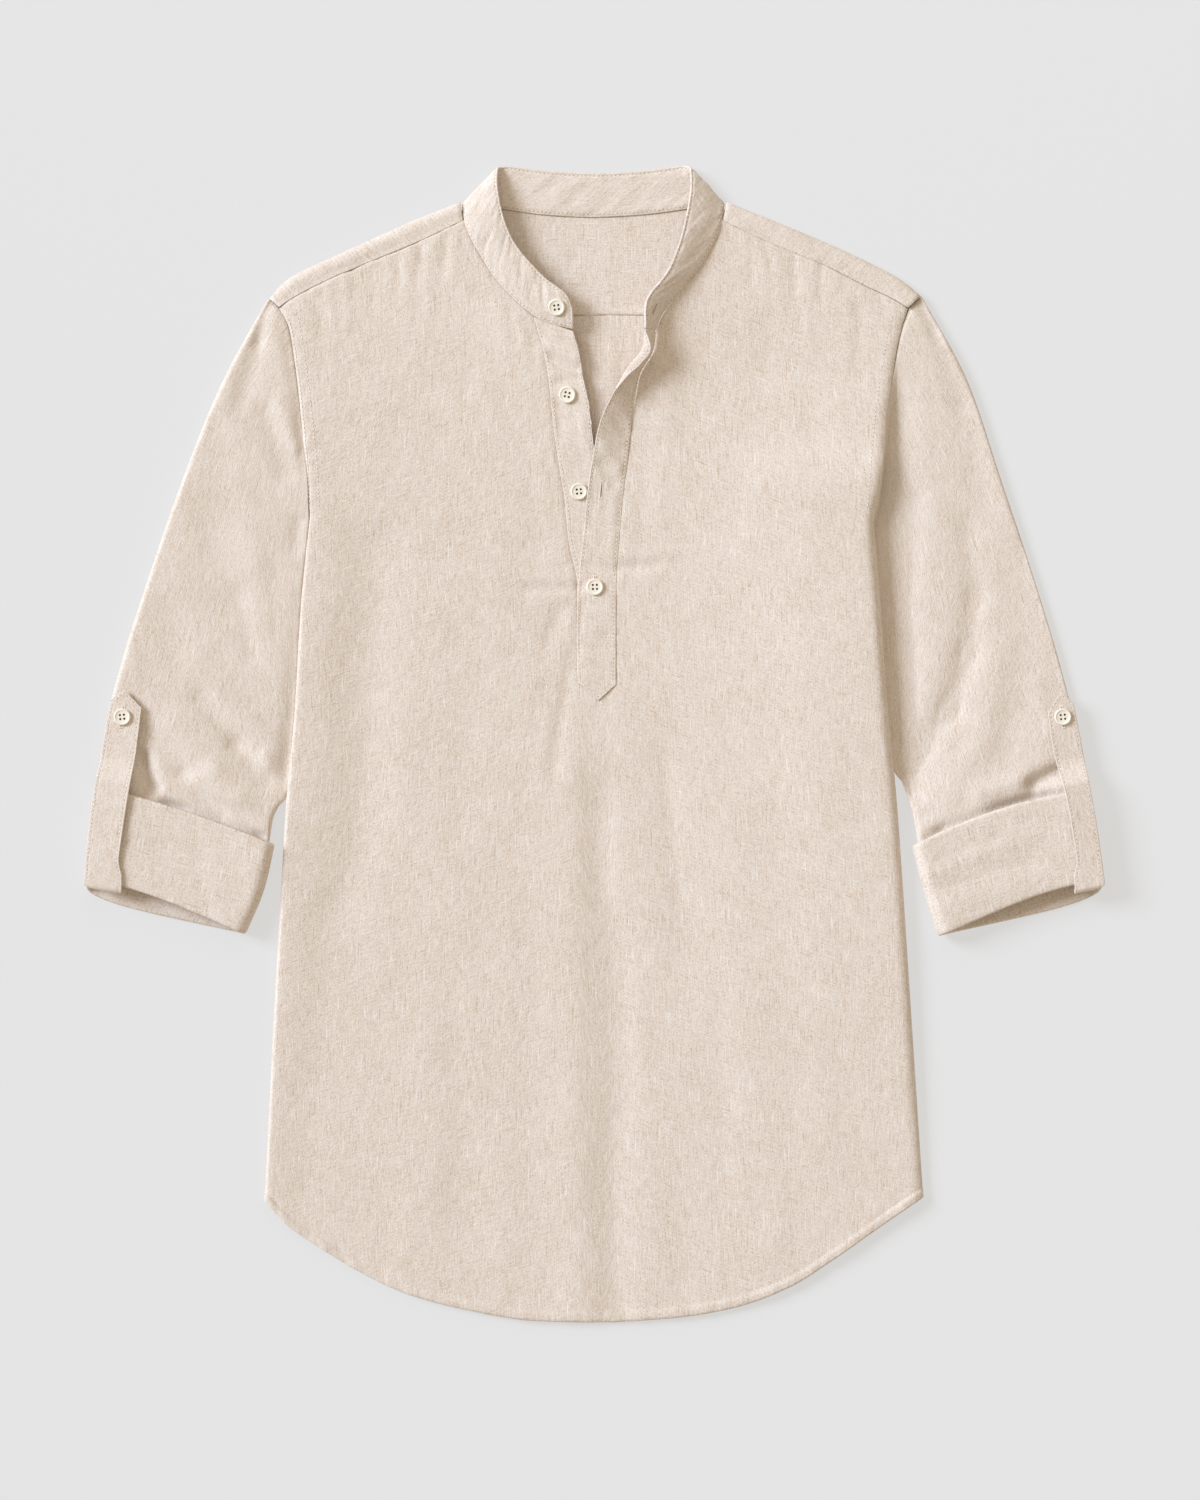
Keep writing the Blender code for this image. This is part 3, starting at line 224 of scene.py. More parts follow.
# Lesser creases of the front: soft drapes of the chest and the skirt, then the sharp ones at the closing.
FRONT_CREASES = table(FOLD_COLUMNS, [
    (-153, 90, -150, 40, 14, -0.52), (-158, -5, -166, -75, 11, -0.45), (-128, 60, -134, -60, 16, 0.45),
    (4.5, -48, 5, -110, 8, -0.7), (16, -125, 22, -255, 12, -0.75), (12, -262, 16, -396, 10, -0.6),
    (30, -165, 33, -238, 7, 0.45), (49, -10, 58, -110, 5, -0.45), (88, -155, 89, -330, 9, -0.41),
    (-100, -158, -90, -330, 13, -0.6), (-58, -110, -62, -300, 12, 0.38), (150, -110, 158, -300, 15, 0.45),
    (178, 60, 182, -60, 15, -0.38), (140, 100, 150, -40, 22, 0.52), (120, 20, 128, -70, 12, -0.26),
    (-15.2, 62.6, -29.7, -22.5, 4, -0.7), (-22, 60, -36, -22.5, 6, 0.4), (-7, 26, -19, -34, 6, 0.2),
    (-42, 40, -60, -40, 8, 0.22),
    (-46, 107.5, -9, 107, 2.8, -1.3), (-54, 113, -12, 111.5, 3.5, 0.3), (-40, 99, -13, 102, 3.2, 0.25),
    (17, 121.5, 44, 124, 2.8, -1.4), (18, 128, 52, 132, 3.6, 0.32), (17, 114, 40, 113, 3.4, 0.25),
    (-24, 92, -32, 70, 4.0, -0.9), (20, 88, 27, 60, 4, -0.3), (19, 60, 30, 34, 4.5, 0.3),
    (-101, 352, -104, 330, 2.6, -0.75), (-96, 352, -98, 318, 3.4, 0.5), (-119, 344, -122, 322, 2.8, -0.6),
    (-112, 345, -115, 300, 4, 0.4), (-135, 336, -136, 316, 2.6, -0.5), (-128, 338, -130, 290, 4.5, 0.35),
    (-152, 329, -154, 302, 3.4, -0.4), (-171, 321, -171, 288, 3.5, 0.35), (-190, 309, -189, 255, 4.6, -0.55),
    (-183, 314, -181, 268, 4, 0.3), (-78, 318, -88, 240, 7, -0.3), (-64, 300, -70, 215, 7, 0.26),
    (108, 347, 109, 322, 2.8, -0.5), (117, 343, 119, 300, 4, 0.4), (137.5, 336, 139, 312, 2.8, -0.7),
    (128, 339, 130, 296, 4, 0.35), (156, 329, 157.6, 305, 3, -0.6), (147, 333, 149, 270, 5, 0.35),
    (185, 303, 182.5, 248, 4.6, -0.5), (176, 310, 174, 262, 4, 0.35), (121.7, 292, 121, 256, 9, -0.45),
    (60, 272, 71, 170, 8, -0.3), (86, 318, 97, 215, 7, 0.26), (150, 280, 151, 180, 9, -0.26),
    (-110, 262, -116, 170, 10, -0.3), (-150, 250, -153, 150, 12, 0.3), (-48, 210, -38, 130, 6, -0.4),
    (-47.5, 292, -41, 274, 3.2, -0.8), (-58.8, 305, -53, 280, 3.8, -0.55), (-52, 296, -46, 268, 3.2, 0.45),
    (-70, 286, -65, 235, 5, -0.35), (52, 250, 44, 150, 6, 0.35), (36, 190, 30, 120, 4.5, -0.35),
    (64, 60, 84, -10, 10, 0.3), (-84, 40, -92, -50, 11, -0.3), (-70, 170, -64, 90, 9, 0.26),
    (100, 190, 96, 110, 11, -0.22), (60, 120, 70, 70, 8, -0.19), (-110, 90, -104, 10, 10, 0.22),
    (196, -180, 206, -300, 7, -0.45), (-60, -330, -66, -390, 9, 0.38), (60, -340, 66, -392, 8, -0.3),
    (-140, -320, -148, -366, 8, -0.34), (128, -310, 120, -372, 9, 0.34), (-200, -250, -212, -318, 7, 0.38),
])

SLEEVE_CREASES = {
    "left": table(FOLD_COLUMNS, [
        (-227, 303, -232, 276, 4.5, -1.1), (-232, 276, -244, 234, 7, -0.62), (-240, 288, -258, 232, 7, 0.37),
        (-228, 228, -213, 188, 8, -0.81), (-217, 236, -207, 205, 5, 0.51), (-204, 152, -206, 136, 6, -0.77),
        (-268, 146, -254, 100, 17, -0.62), (-244, 180, -232, 120, 10, 0.37),
        (-246, 103, -237, 62, 7.5, -0.62),
        (-222, 120, -214, 60, 8, -0.31), (-296, 86, -286, 64, 12, -0.62), (-280, 60, -262, 34, 8, 0.37),
        (-272, 31, -247, -1, 7, -0.93), (-247, -1, -226, -25, 7.5, -1.12), (-259, 40, -222, -2, 8, 0.56),
        (-227.5, -11, -226, -14, 5.5, 0.85), (-306, 6, -284, -20, 8, -0.68), (-284, -20, -258, -48, 6, -0.68),
        (-291, 14, -262, -18, 8, 0.5), (-262, -18, -238, -40, 7, 0.68),
        (-313, -10, -306, -30, 6.0, -3.0), (-276, -26, -246, -38, 6, 0.8),
        (-322, 70, -316, 50, 6, 0.34), (-290, 190, -276, 140, 9, 0.31), (-268, 240, -256, 200, 8, -0.31),
    ]),
    "right": table(FOLD_COLUMNS, [
        (224.7, 307, 237, 283, 4.5, -1.19), (237, 283, 255.8, 232.7, 6.5, -0.62),
        (255.8, 232, 268, 170, 9, -0.37), (259.3, 152, 264, 101, 8.5, -0.62), (264, 101, 259.3, 63, 8, -0.99),
        (259.3, 63, 246.8, 22.5, 8, -1.36), (246.8, 22.5, 227.5, -2.4, 9, -1.12),
        (227.5, -2.4, 221.5, -34, 7, -0.74),
        (238, 130, 236, 60, 11, 0.2), (236, 60, 226, 20, 9, 0.3), (282, 66, 268, 2, 11, 0.62),
        (268, 2, 246, -30, 9, 0.4), (292, 130, 300, 70, 12, -0.31), (290, 20, 284, -14, 8, -0.31),
        (304, -28, 321, -20, 6.0, -3.4), (266, -34, 298, -26, 6, 0.9), (222, 170, 218, 110, 9, -0.5),
        (306, 40, 316, 10, 6, 0.42), (280, 190, 290, 140, 9, 0.25), (272, 230, 280, 196, 7, 0.25),
        (214, 90, 212, 30, 6, -0.42), (222, 170, 218, 110, 8, -0.31),
    ]),
}

UNDER_PLACKET_CREASES = table(FOLD_COLUMNS, [
    (-36, 277, -13, 266, 3.0, 1.3), (-34, 270, -12, 258, 2.8, -1.4), (-31, 257, -17, 250, 3.4, 0.7),
    (-25, 250, -8, 253, 2.6, -0.8), (-26, 238, -22, 212, 3.4, -0.5), (-9, 226, -5, 205, 3.0, 0.6),
    (-20, 216, -13, 196, 4.0, 0.5),
])
TOP_PLACKET_CREASES = table(FOLD_COLUMNS, [
    (-12, 74.2, 15, 73.4, 1.4, -0.8), (-12, 67.8, 15, 67.2, 1.4, -0.6), (-12, 70.6, 15, 70.4, 1.6, 0.3),
    (6, 205, 18, 190, 3.2, 0.9), (4, 193, 14, 180, 3.0, -0.9), (0, 188, -2, 150, 2.6, -0.4),
    (14, 170, 12, 130, 3.4, 0.4), (-8, 123, 12, 121, 3.2, -0.45), (-8, 96, -9, 80, 2.4, -0.5),
    (10, 232, 22, 214, 4.0, -0.7), (-6, 60, 10, 56, 4.0, 0.3),
])

ROLL_CREASES = {
    "left": table(FOLD_COLUMNS, [
        (-318, -56, -276, -66, 5, 0.35), (-300, -70, -254, -86, 5.5, -0.45), (-262, -74, -238, -86, 4.5, 0.4),
        (-306, -90, -262, -106, 6, 0.35), (-276, -60, -270, -112, 6, -0.25), (-246, -84, -240, -118, 6, -0.4),
        (-330, -60, -334, -92, 5, -0.3),
    ]),
    "right": table(FOLD_COLUMNS, [
        (231, -90, 262, -76, 5.5, 0.5), (262, -76, 306, -62, 6, 0.5), (234, -102, 300, -80, 5.5, -0.45),
        (240, -80, 280, -66, 4, -0.35), (246, -112, 312, -92, 6, 0.35), (300, -52, 318, -58, 5, -0.4),
        (316, -84, 326, -98, 5, 0.3),
    ]),
}

# Shallow creases of the hidden sides, where the cloth stands a little off the surface.
BACK_CREASES = table(FOLD_COLUMNS, [
    (12, 298, 15, 205, 2.4, 0.7), (24, 298, 27, 235, 4, 0.25), (-2, 296, -5, 220, 4, 0.3),
    (-120, 260, -96, 120, 7, 0.5), (98, 240, 118, 90, 6, 0.5), (-60, 60, -70, -160, 9, 0.5),
    (50, 20, 64, -180, 8, 0.5), (-150, -60, -158, -250, 8, 0.45), (150, -20, 160, -240, 7, 0.45),
    (-10, -180, 0, -370, 7, 0.5), (-60, 150, 20, 120, 6, 0.4), (-140, 20, -60, 8, 5, 0.35),
    (70, -220, 150, -236, 6, 0.35), (-180, 180, -120, 150, 6, 0.4), (180, 190, 120, 160, 6, 0.4),
    (60, -300, 72, -376, 7, 0.45), (-90, -290, -98, -372, 7, 0.45),
])


# ---------------------------------------------------------------- curves and heights

def smooth(knots, values, at):
    """A cubic through values at rising knots that never overshoots between them."""
    knots = np.asarray(knots, dtype=float)
    values = np.asarray(values, dtype=float)
    flat = values.ndim == 1
    if flat:
        values = values[:, None]
    step = np.diff(knots)[:, None]
    slope = np.diff(values, axis=0) / step
    before, after = slope[:-1], slope[1:]
    weight_a = 2 * step[1:] + step[:-1]
    weight_b = step[1:] + 2 * step[:-1]
    same_way = before * after > 0
    mean = (weight_a + weight_b) / (weight_a / np.where(same_way, before, 1)
                                    + weight_b / np.where(same_way, after, 1))
    tangent = np.vstack([slope[:1], np.where(same_way, mean, 0), slope[-1:]])
    at = np.clip(np.asarray(at, dtype=float), knots[0], knots[-1])
    i = np.clip(np.searchsorted(knots, at, side="right") - 1, 0, len(knots) - 2)
    t = ((at - knots[i]) / step[i, 0])[..., None]
    h = step[i]
    result = ((1 + 2 * t) * (1 - t) ** 2 * values[i] + t * (1 - t) ** 2 * h * tangent[i]
              + t * t * (3 - 2 * t) * values[i + 1] + t * t * (t - 1) * h * tangent[i + 1])
    return result[..., 0] if flat else result


def along(curve, share):
    """Points at shares of a curve's length."""
    run = np.concatenate([[0], np.cumsum(np.linalg.norm(np.diff(curve, axis=0), axis=1))])
    return smooth(run / run[-1], curve, share)


def rows_of(tab, columns, share):
    """A table's columns read at shares of the way from its first row to its last."""
    values = np.column_stack([tab[name] for name in columns.split()])
    return smooth(np.linspace(0, 1, len(values)), values, share)


def ease(t):
    """A soft step from 0 to 1."""
    t = np.clip(t, 0, 1)
    return t * t * (3 - 2 * t)


def fold_relief(folds, x, y):
    """Sum of soft ridges and troughs, each along a line from (x0, y0) to (x1, y1)."""
    total = np.zeros(np.broadcast(x, y).shape)
    for x0, y0, x1, y1, width, height in zip(*(folds[c] for c in FOLD_COLUMNS.split())):
        length_squared = (x1 - x0) ** 2 + (y1 - y0) ** 2
        t = np.clip(((x - x0) * (x1 - x0) + (y - y0) * (y1 - y0)) / length_squared, 0, 1)
        squared = (x - x0 - t * (x1 - x0)) ** 2 + (y - y0 - t * (y1 - y0)) ** 2
        total = total + height * np.exp(-squared / width ** 2)
    return total


def unevenness(a, b, size_a, size_b, seed):
    """Smooth noise from -1 to 1 over two lengths, in patches of the given sizes."""
    a, b = np.broadcast_arrays(np.asarray(a, dtype=float), np.asarray(b, dtype=float))
    values = [noise.noise(Vector((p / size_a, q / size_b, seed))) for p, q in zip(a.ravel(), b.ravel())]
    return np.array(values).reshape(a.shape)


CRUMPLES = table("size_x size_y height seed",
                 [(46, 70, 0.40, 3.1), (19, 27, 0.17, 7.7), (8.5, 10, 0.08, 12.4)])


def crumple(x, y, seed=0.0):
    """The slight unevenness of washed linen at three sizes."""
    total = 0
    for size_x, size_y, height, own in zip(*CRUMPLES.values()):
        total = total + height * unevenness(x, y, size_x, size_y, own + seed)
    return total


def front_top(x, y, inset=FAR):
    """Height of the front's upper face, at a distance from the side fold or the armhole."""
    x, y = np.asarray(x, dtype=float), np.asarray(y, dtype=float)
    fold = smooth(FRONT_HEIGHT["y"], FRONT_HEIGHT["fold"], y)
    middle = smooth(FRONT_HEIGHT["y"], FRONT_HEIGHT["middle"], y)
    from_neck = (x - NECK_RISE["x"]) ** 2 + (y - NECK_RISE["y"]) ** 2
    middle = middle + NECK_RISE["height"] * np.exp(-from_neck / NECK_RISE["reach"] ** 2)
    on_left = x < 0
    share = {side: smooth(SIDE_SHARE[side]["y"], SIDE_SHARE[side]["share"], y) for side in SIGN}
    fold = middle + (fold - middle) * np.where(on_left, share["left"], share["right"])
    past_fold = np.maximum(inset - np.where(on_left, FOLD_REACH["left"], FOLD_REACH["right"]), 0)
    rise = np.exp(-(past_fold / np.where(on_left, SIDE_SLOPE["left"], SIDE_SLOPE["right"])) ** 2)
    near_side = np.exp(-(past_fold / SIDE_FADE) ** 2)
    relief = fold_relief(FRONT_FOLDS, x, y) + fold_relief(FRONT_CREASES, x, y) + crumple(x, y)
    return middle + (fold - middle) * rise + relief * (1 - near_side)


def fold_section(radius, top, floor, wall, angles, reach=None):
    """Insets and heights of the middle of a wall that turns round a fold, at angles from -90 to 90 degrees.

    The upper half may reach further in than the lower one.
    """
    angle = np.radians(angles)
    half_height = (top - floor) / 2
    radius = np.where(angle > 0, reach or radius, radius)
    inset = radius - (radius - wall / 2) * np.cos(angle)
    height = floor + half_height + (half_height - wall / 2) * np.sin(angle)
    return inset, height


# ---------------------------------------------------------------- shells

def placed(name, mesh):
    """A new object in the scene that shows a mesh or holds a light or camera."""
    obj = bpy.data.objects.new(name, mesh)
    bpy.context.scene.collection.objects.link(obj)
    return obj


def cell_corners(cells, columns):
    """The four grid indices of each kept cell, in order round it."""
    r, c = np.nonzero(cells)
    d = (c + 1) % columns
    return np.stack([r * columns + c, r * columns + d, (r + 1) * columns + d, (r + 1) * columns + c], axis=1)


def all_cells(grid, closed=False):
    """Every cell of a grid, as kept; a closed grid has one more column of them."""
    return np.ones((grid.shape[0] - 1, grid.shape[1] - (0 if closed else 1)), dtype=bool)


def point_normals(grid, quads):
    """The normals at a grid's points, from the cells that are kept."""
    flat = grid.reshape(-1, 3)
    a, b, c, d = (flat[quads[:, k]] for k in range(4))
    face = np.cross(c - a, d - b)
    normals = np.zeros_like(flat)
    for k in range(4):
        np.add.at(normals, quads[:, k], face)
    length = np.linalg.norm(normals, axis=1, keepdims=True)
    return normals / np.where(length > 0, length, 1)


def grid_normals(grid, closed=False, up=False):
    """The normals at a grid's points, turned upwards where that is asked for."""
    normals = point_normals(grid, cell_corners(all_cells(grid, closed), grid.shape[1])).reshape(grid.shape)
    return normals * np.sign(normals[..., 2:3] + TINY) if up else normals


def cloth_runs(grid, origin=None):
    """Distances over the cloth, across and down, from an origin column and the first row."""
    across = np.concatenate([np.zeros((grid.shape[0], 1)),
                             np.cumsum(np.linalg.norm(np.diff(grid, axis=1), axis=2), axis=1)], axis=1)
    down = np.concatenate([np.zeros((1, grid.shape[1])),
                           np.cumsum(np.linalg.norm(np.diff(grid, axis=0), axis=2), axis=0)], axis=0)
    if origin is not None:
        across = across - across[:, origin:origin + 1]
    return across, down


EDGE_ROUND = 0.4         # how far a shell's edge is rounded, as a share of half its thickness


def shell(name, grid, thickness, closed=False, cells=None, origin=None, turn=False):
    """A thin closed shell with rounded edges round the middle points of a grid.

    Its cloth map is in metres, from an origin column; turn lays the map's first way along the rows instead.
    """
    grid = np.asarray(grid, dtype=float)
    if cells is None:
        cells = all_cells(grid, closed)
    quads = cell_corners(cells, grid.shape[1])
    normals = point_normals(grid, quads)
    flat = grid.reshape(-1, 3)
    half = np.broadcast_to(np.asarray(thickness, dtype=float) / 2, grid.shape[:2]).reshape(-1, 1)
    count = len(flat)
    edges = np.concatenate([quads[:, [0, 1]], quads[:, [1, 2]], quads[:, [2, 3]], quads[:, [3, 0]]])
    inner_edges = np.concatenate([quads[:, [3, 2]], quads[:, [0, 3]], quads[:, [1, 0]], quads[:, [2, 1]]])
    key = np.sort(edges, axis=1)
    _, inverse, uses = np.unique(key[:, 0] * count + key[:, 1], return_inverse=True, return_counts=True)
    border = uses[inverse] == 1
    outward = np.zeros_like(flat)
    for k in range(2):
        step = flat[edges[border, k]] - flat[inner_edges[border, k]]
        step /= np.maximum(np.linalg.norm(step, axis=1, keepdims=True), TINY)
        np.add.at(outward, edges[border, k], step)
    outward -= normals * (outward * normals).sum(axis=1, keepdims=True)
    length = np.linalg.norm(outward, axis=1, keepdims=True)
    outward = outward / np.where(length > 0, length, 1)
    rim = flat + outward * half * EDGE_ROUND
    top = flat + normals * half - outward * half * EDGE_ROUND
    bottom = flat - normals * half - outward * half * EDGE_ROUND
    vertices = np.concatenate([top, bottom, rim]) * MM
    p, q = edges[border, 0], edges[border, 1]
    upper = np.stack([q, p, p + 2 * count, q + 2 * count], axis=1)
    lower = np.stack([q + 2 * count, p + 2 * count, p + count, q + count], axis=1)
    faces = np.concatenate([quads, quads[:, ::-1] + count, upper, lower])
    kept = np.unique(faces)
    order = np.full(3 * count, -1)
    order[kept] = np.arange(len(kept))
    mesh = bpy.data.meshes.new(name)
    mesh.from_pydata(vertices[kept].tolist(), [], order[faces].tolist())
    across, down = cloth_runs(grid, origin)
    if turn:
        across, down = down, across
    runs = np.stack([across.ravel(), down.ravel()], axis=1) * MM
    loops = np.empty(len(mesh.loops), dtype=np.int64)
    mesh.loops.foreach_get("vertex_index", loops)
    cloth_map = mesh.uv_layers.new(name="cloth")
    cloth_map.data.foreach_set("uv", runs[kept[loops] % count].astype(np.float32).ravel())
    mesh.shade_smooth()
    return placed(name, mesh)


EDGE_STEPS = (0, 0.45, 0.9, 1.3, 1.7, 2.1, 2.6, 3.3)    # insets of the columns beside a turned edge
STITCH_INSET = 1.75
GROOVE_WIDTH = 0.65      # of the line that the stitches draw in, beside a turned edge
GROOVE_DEPTH = 0.34      # as a share of the thickness
SEWN_THICKNESS = 0.8     # where a piece is sewn down on another
SEWN_RUN = 3.5           # how far it takes to reach its full thickness


def strip_shares(width, step=2.2):
    """Shares across a strip, close together at its two edges, where the stitched rims are."""
    edge = np.array(EDGE_STEPS)
    middle = np.linspace(edge[-1], width - edge[-1], max(int((width - 2 * edge[-1]) / step), 2) + 1)[1:-1]
    return np.concatenate([edge, middle, width - edge[::-1]]) / width


def rim_thickness(thickness, *from_edges):
    """Full thickness at a turned edge, drawn in along the line of stitches beside it."""
    drawn = sum(np.exp(-((d - STITCH_INSET) / GROOVE_WIDTH) ** 2) for d in from_edges)
    return thickness * (1 - GROOVE_DEPTH * np.minimum(drawn, 1))


def sewn_thickness(thickness, from_seam, *from_edges):
    """Rim thickness that thins to one layer where the piece is sewn down on another."""
    sewn = SEWN_THICKNESS + (thickness - SEWN_THICKNESS) * ease(from_seam / SEWN_RUN)
    return np.minimum(rim_thickness(thickness, from_seam, *from_edges), sewn)


def puckers(from_seam, run, reach, height, length, seed, slant=0.0):
    """Small ripples across a seam that fade with the distance from it."""
    ripples = unevenness(run + slant * from_seam, from_seam, length, 4 * length, seed)
    return height * np.exp(-(from_seam / reach) ** 2) * ripples


def ridge(distance, at, width, height):
    """A soft ridge, or a trough where its height is negative, at a distance from an edge."""
    return height * np.exp(-((distance - at) / width) ** 2)


# ---------------------------------------------------------------- body

ROLL_ANGLES = np.concatenate([[-90], np.linspace(-75, 90, 12)])
UNDER_COLUMNS = int(np.argmax(ROLL_ANGLES >= 14))    # columns of the front that lie under the shirt
HEM_START = 0.976
FRONT_SHARES = np.unique(np.round(np.concatenate([
    np.linspace(0, SLIT_TOP, 27), np.linspace(SLIT_TOP, UNDERARM, 37), np.linspace(UNDERARM, SLIT_END, 41),
    np.linspace(SLIT_END, HEM_START, 122), np.linspace(HEM_START, 1, 15)]), 6))
FRONT_COLUMNS = 62
STRIP_COLUMNS = 7        # between the two halves of the front, below the slit
NECK_LAP_END = 0.03      # share of the rows over which the lap under the band ends
YOKE_LAP_END = 0.06
YOKE_SEAM_WAY = (-0.9, 0.43)
HEM_HALF_GAP = 20        # the hem's own points this near the middle are left to the middle's
UNDERARM_RUN = 0.12      # share of the rows over which the armhole's edge becomes a side fold


def slit_rows_y(share, top):
    """Where the rows of the front cross the slit, from its top down to its end."""
    return top + (SLIT_END_Y - top) * np.clip((share - SLIT_TOP) / (SLIT_END - SLIT_TOP), 0, 1)


def half_front(side):
    """Middle points of one half of the front, from its side seam or armhole to its inner edge."""
    sign = SIGN[side]
    v = FRONT_SHARES
    armhole = along(ARMHOLE[side][1:], v / UNDERARM)
    fold = along(SIDE_FOLD[side], (v - UNDERARM) / (1 - UNDERARM))
    outer = np.where((v < UNDERARM)[:, None], armhole, fold)
    neck = NECK_EDGE[side]
    neck = smooth(neck["share"], np.column_stack([neck["x"], neck["y"]]), v)
    inward = np.array(NECK_CENTRE) - neck
    inward = inward / np.linalg.norm(inward, axis=1, keepdims=True)
    on_yoke_seam = 1 - ease(v / YOKE_LAP_END)[:, None]
    inward = inward + (np.array([YOKE_SEAM_WAY[0] * sign, YOKE_SEAM_WAY[1]]) - inward) * on_yoke_seam
    neck = neck + NECK_LAP * inward * ease((SLIT_TOP - v) / NECK_LAP_END)[:, None]
    placket = UNDER_PLACKET if side == "left" else TOP_PLACKET
    tuck = -PLACKET_LAP if side == "left" else PLACKET_LAP
    slit_y = slit_rows_y(v, neck[-1, 1])
    slit_x = smooth(-placket["seam_y"], placket["seam_x"], -slit_y) - tuck
    down_middle = np.clip((v - SLIT_END) / (1 - SLIT_END), 0, 1)[:, None]
    slit = np.column_stack([slit_x, slit_y])
    slit = slit + (np.array(HEM_CENTRE[side]) - slit[np.argmin(abs(v - SLIT_END))]) * down_middle
    inner = np.where((v < SLIT_TOP)[:, None], neck, slit)
    seam = FRONT_YOKE_SEAM[side][::-1]
    hem = HEM[:HEM_MIDDLE + 1] if side == "left" else HEM[HEM_MIDDLE:][::-1]
    hem = np.vstack([hem[hem[:, 0] * sign > HEM_HALF_GAP], inner[-1]])
    rows = []
    for r, share in enumerate(v):
        width = np.linalg.norm(inner[r] - outer[r])
        past = np.linspace(FOLD_REACH[side], width, FRONT_COLUMNS + 1)[1:]
        down = float(ease((share - UNDERARM + UNDERARM_RUN) / UNDERARM_RUN))
        top = float(front_top(outer[r, 0], outer[r, 1], 0))
        inset, height = fold_section(FOLD_RADIUS, top, 0, CLOTH, ROLL_ANGLES, FOLD_REACH[side])
        seam_height = top - ARMHOLE_DROP * (1 - np.sin(np.radians(ROLL_ANGLES))) - CLOTH / 2
        height = down * height + (1 - down) * seam_height
        inset = np.maximum(inset - (1 - down) * inset[UNDER_COLUMNS], 0)
        inset[:UNDER_COLUMNS + 1] -= (1 - down) * ARMHOLE_LAP
        insets = np.concatenate([[FOLD_RADIUS + UNDERSIDE], inset, past])
        u = insets / width
        ends = ((1 - share) * (along(seam, u) - np.outer(1 - u, seam[0]) - np.outer(u, seam[-1]))
                + share * (along(hem, u) - np.outer(1 - u, hem[0]) - np.outer(u, hem[-1])))
        plan = np.outer(1 - u, outer[r]) + np.outer(u, inner[r]) + ends
        lying = front_top(plan[-len(past):, 0], plan[-len(past):, 1], past) - CLOTH / 2
        rows.append(np.column_stack([plan, np.concatenate([[CLOTH / 2], height, lying])]))
    return np.array(rows)


SLIT_DIP = 1.1           # how far the front sinks where it goes in under the under placket
SLIT_DIP_RUN = 3.2
SLIT_LEAD = 0.04         # share of the rows above the slit that already pucker with it
HEM_CREST = {"at": 4.2, "width": 2.2, "height": 0.35}
HEM_GROOVE = {"at": HEM_WIDTH, "width": 0.9, "height": -0.3}
LOWEST_LIFT = -0.6
HEM_STEP = 1.2           # how far the cloth takes to reach the hem's thickness
ARMHOLE_SEAM = {"thickness": 0.35, "run": 7, "below": 0.02}


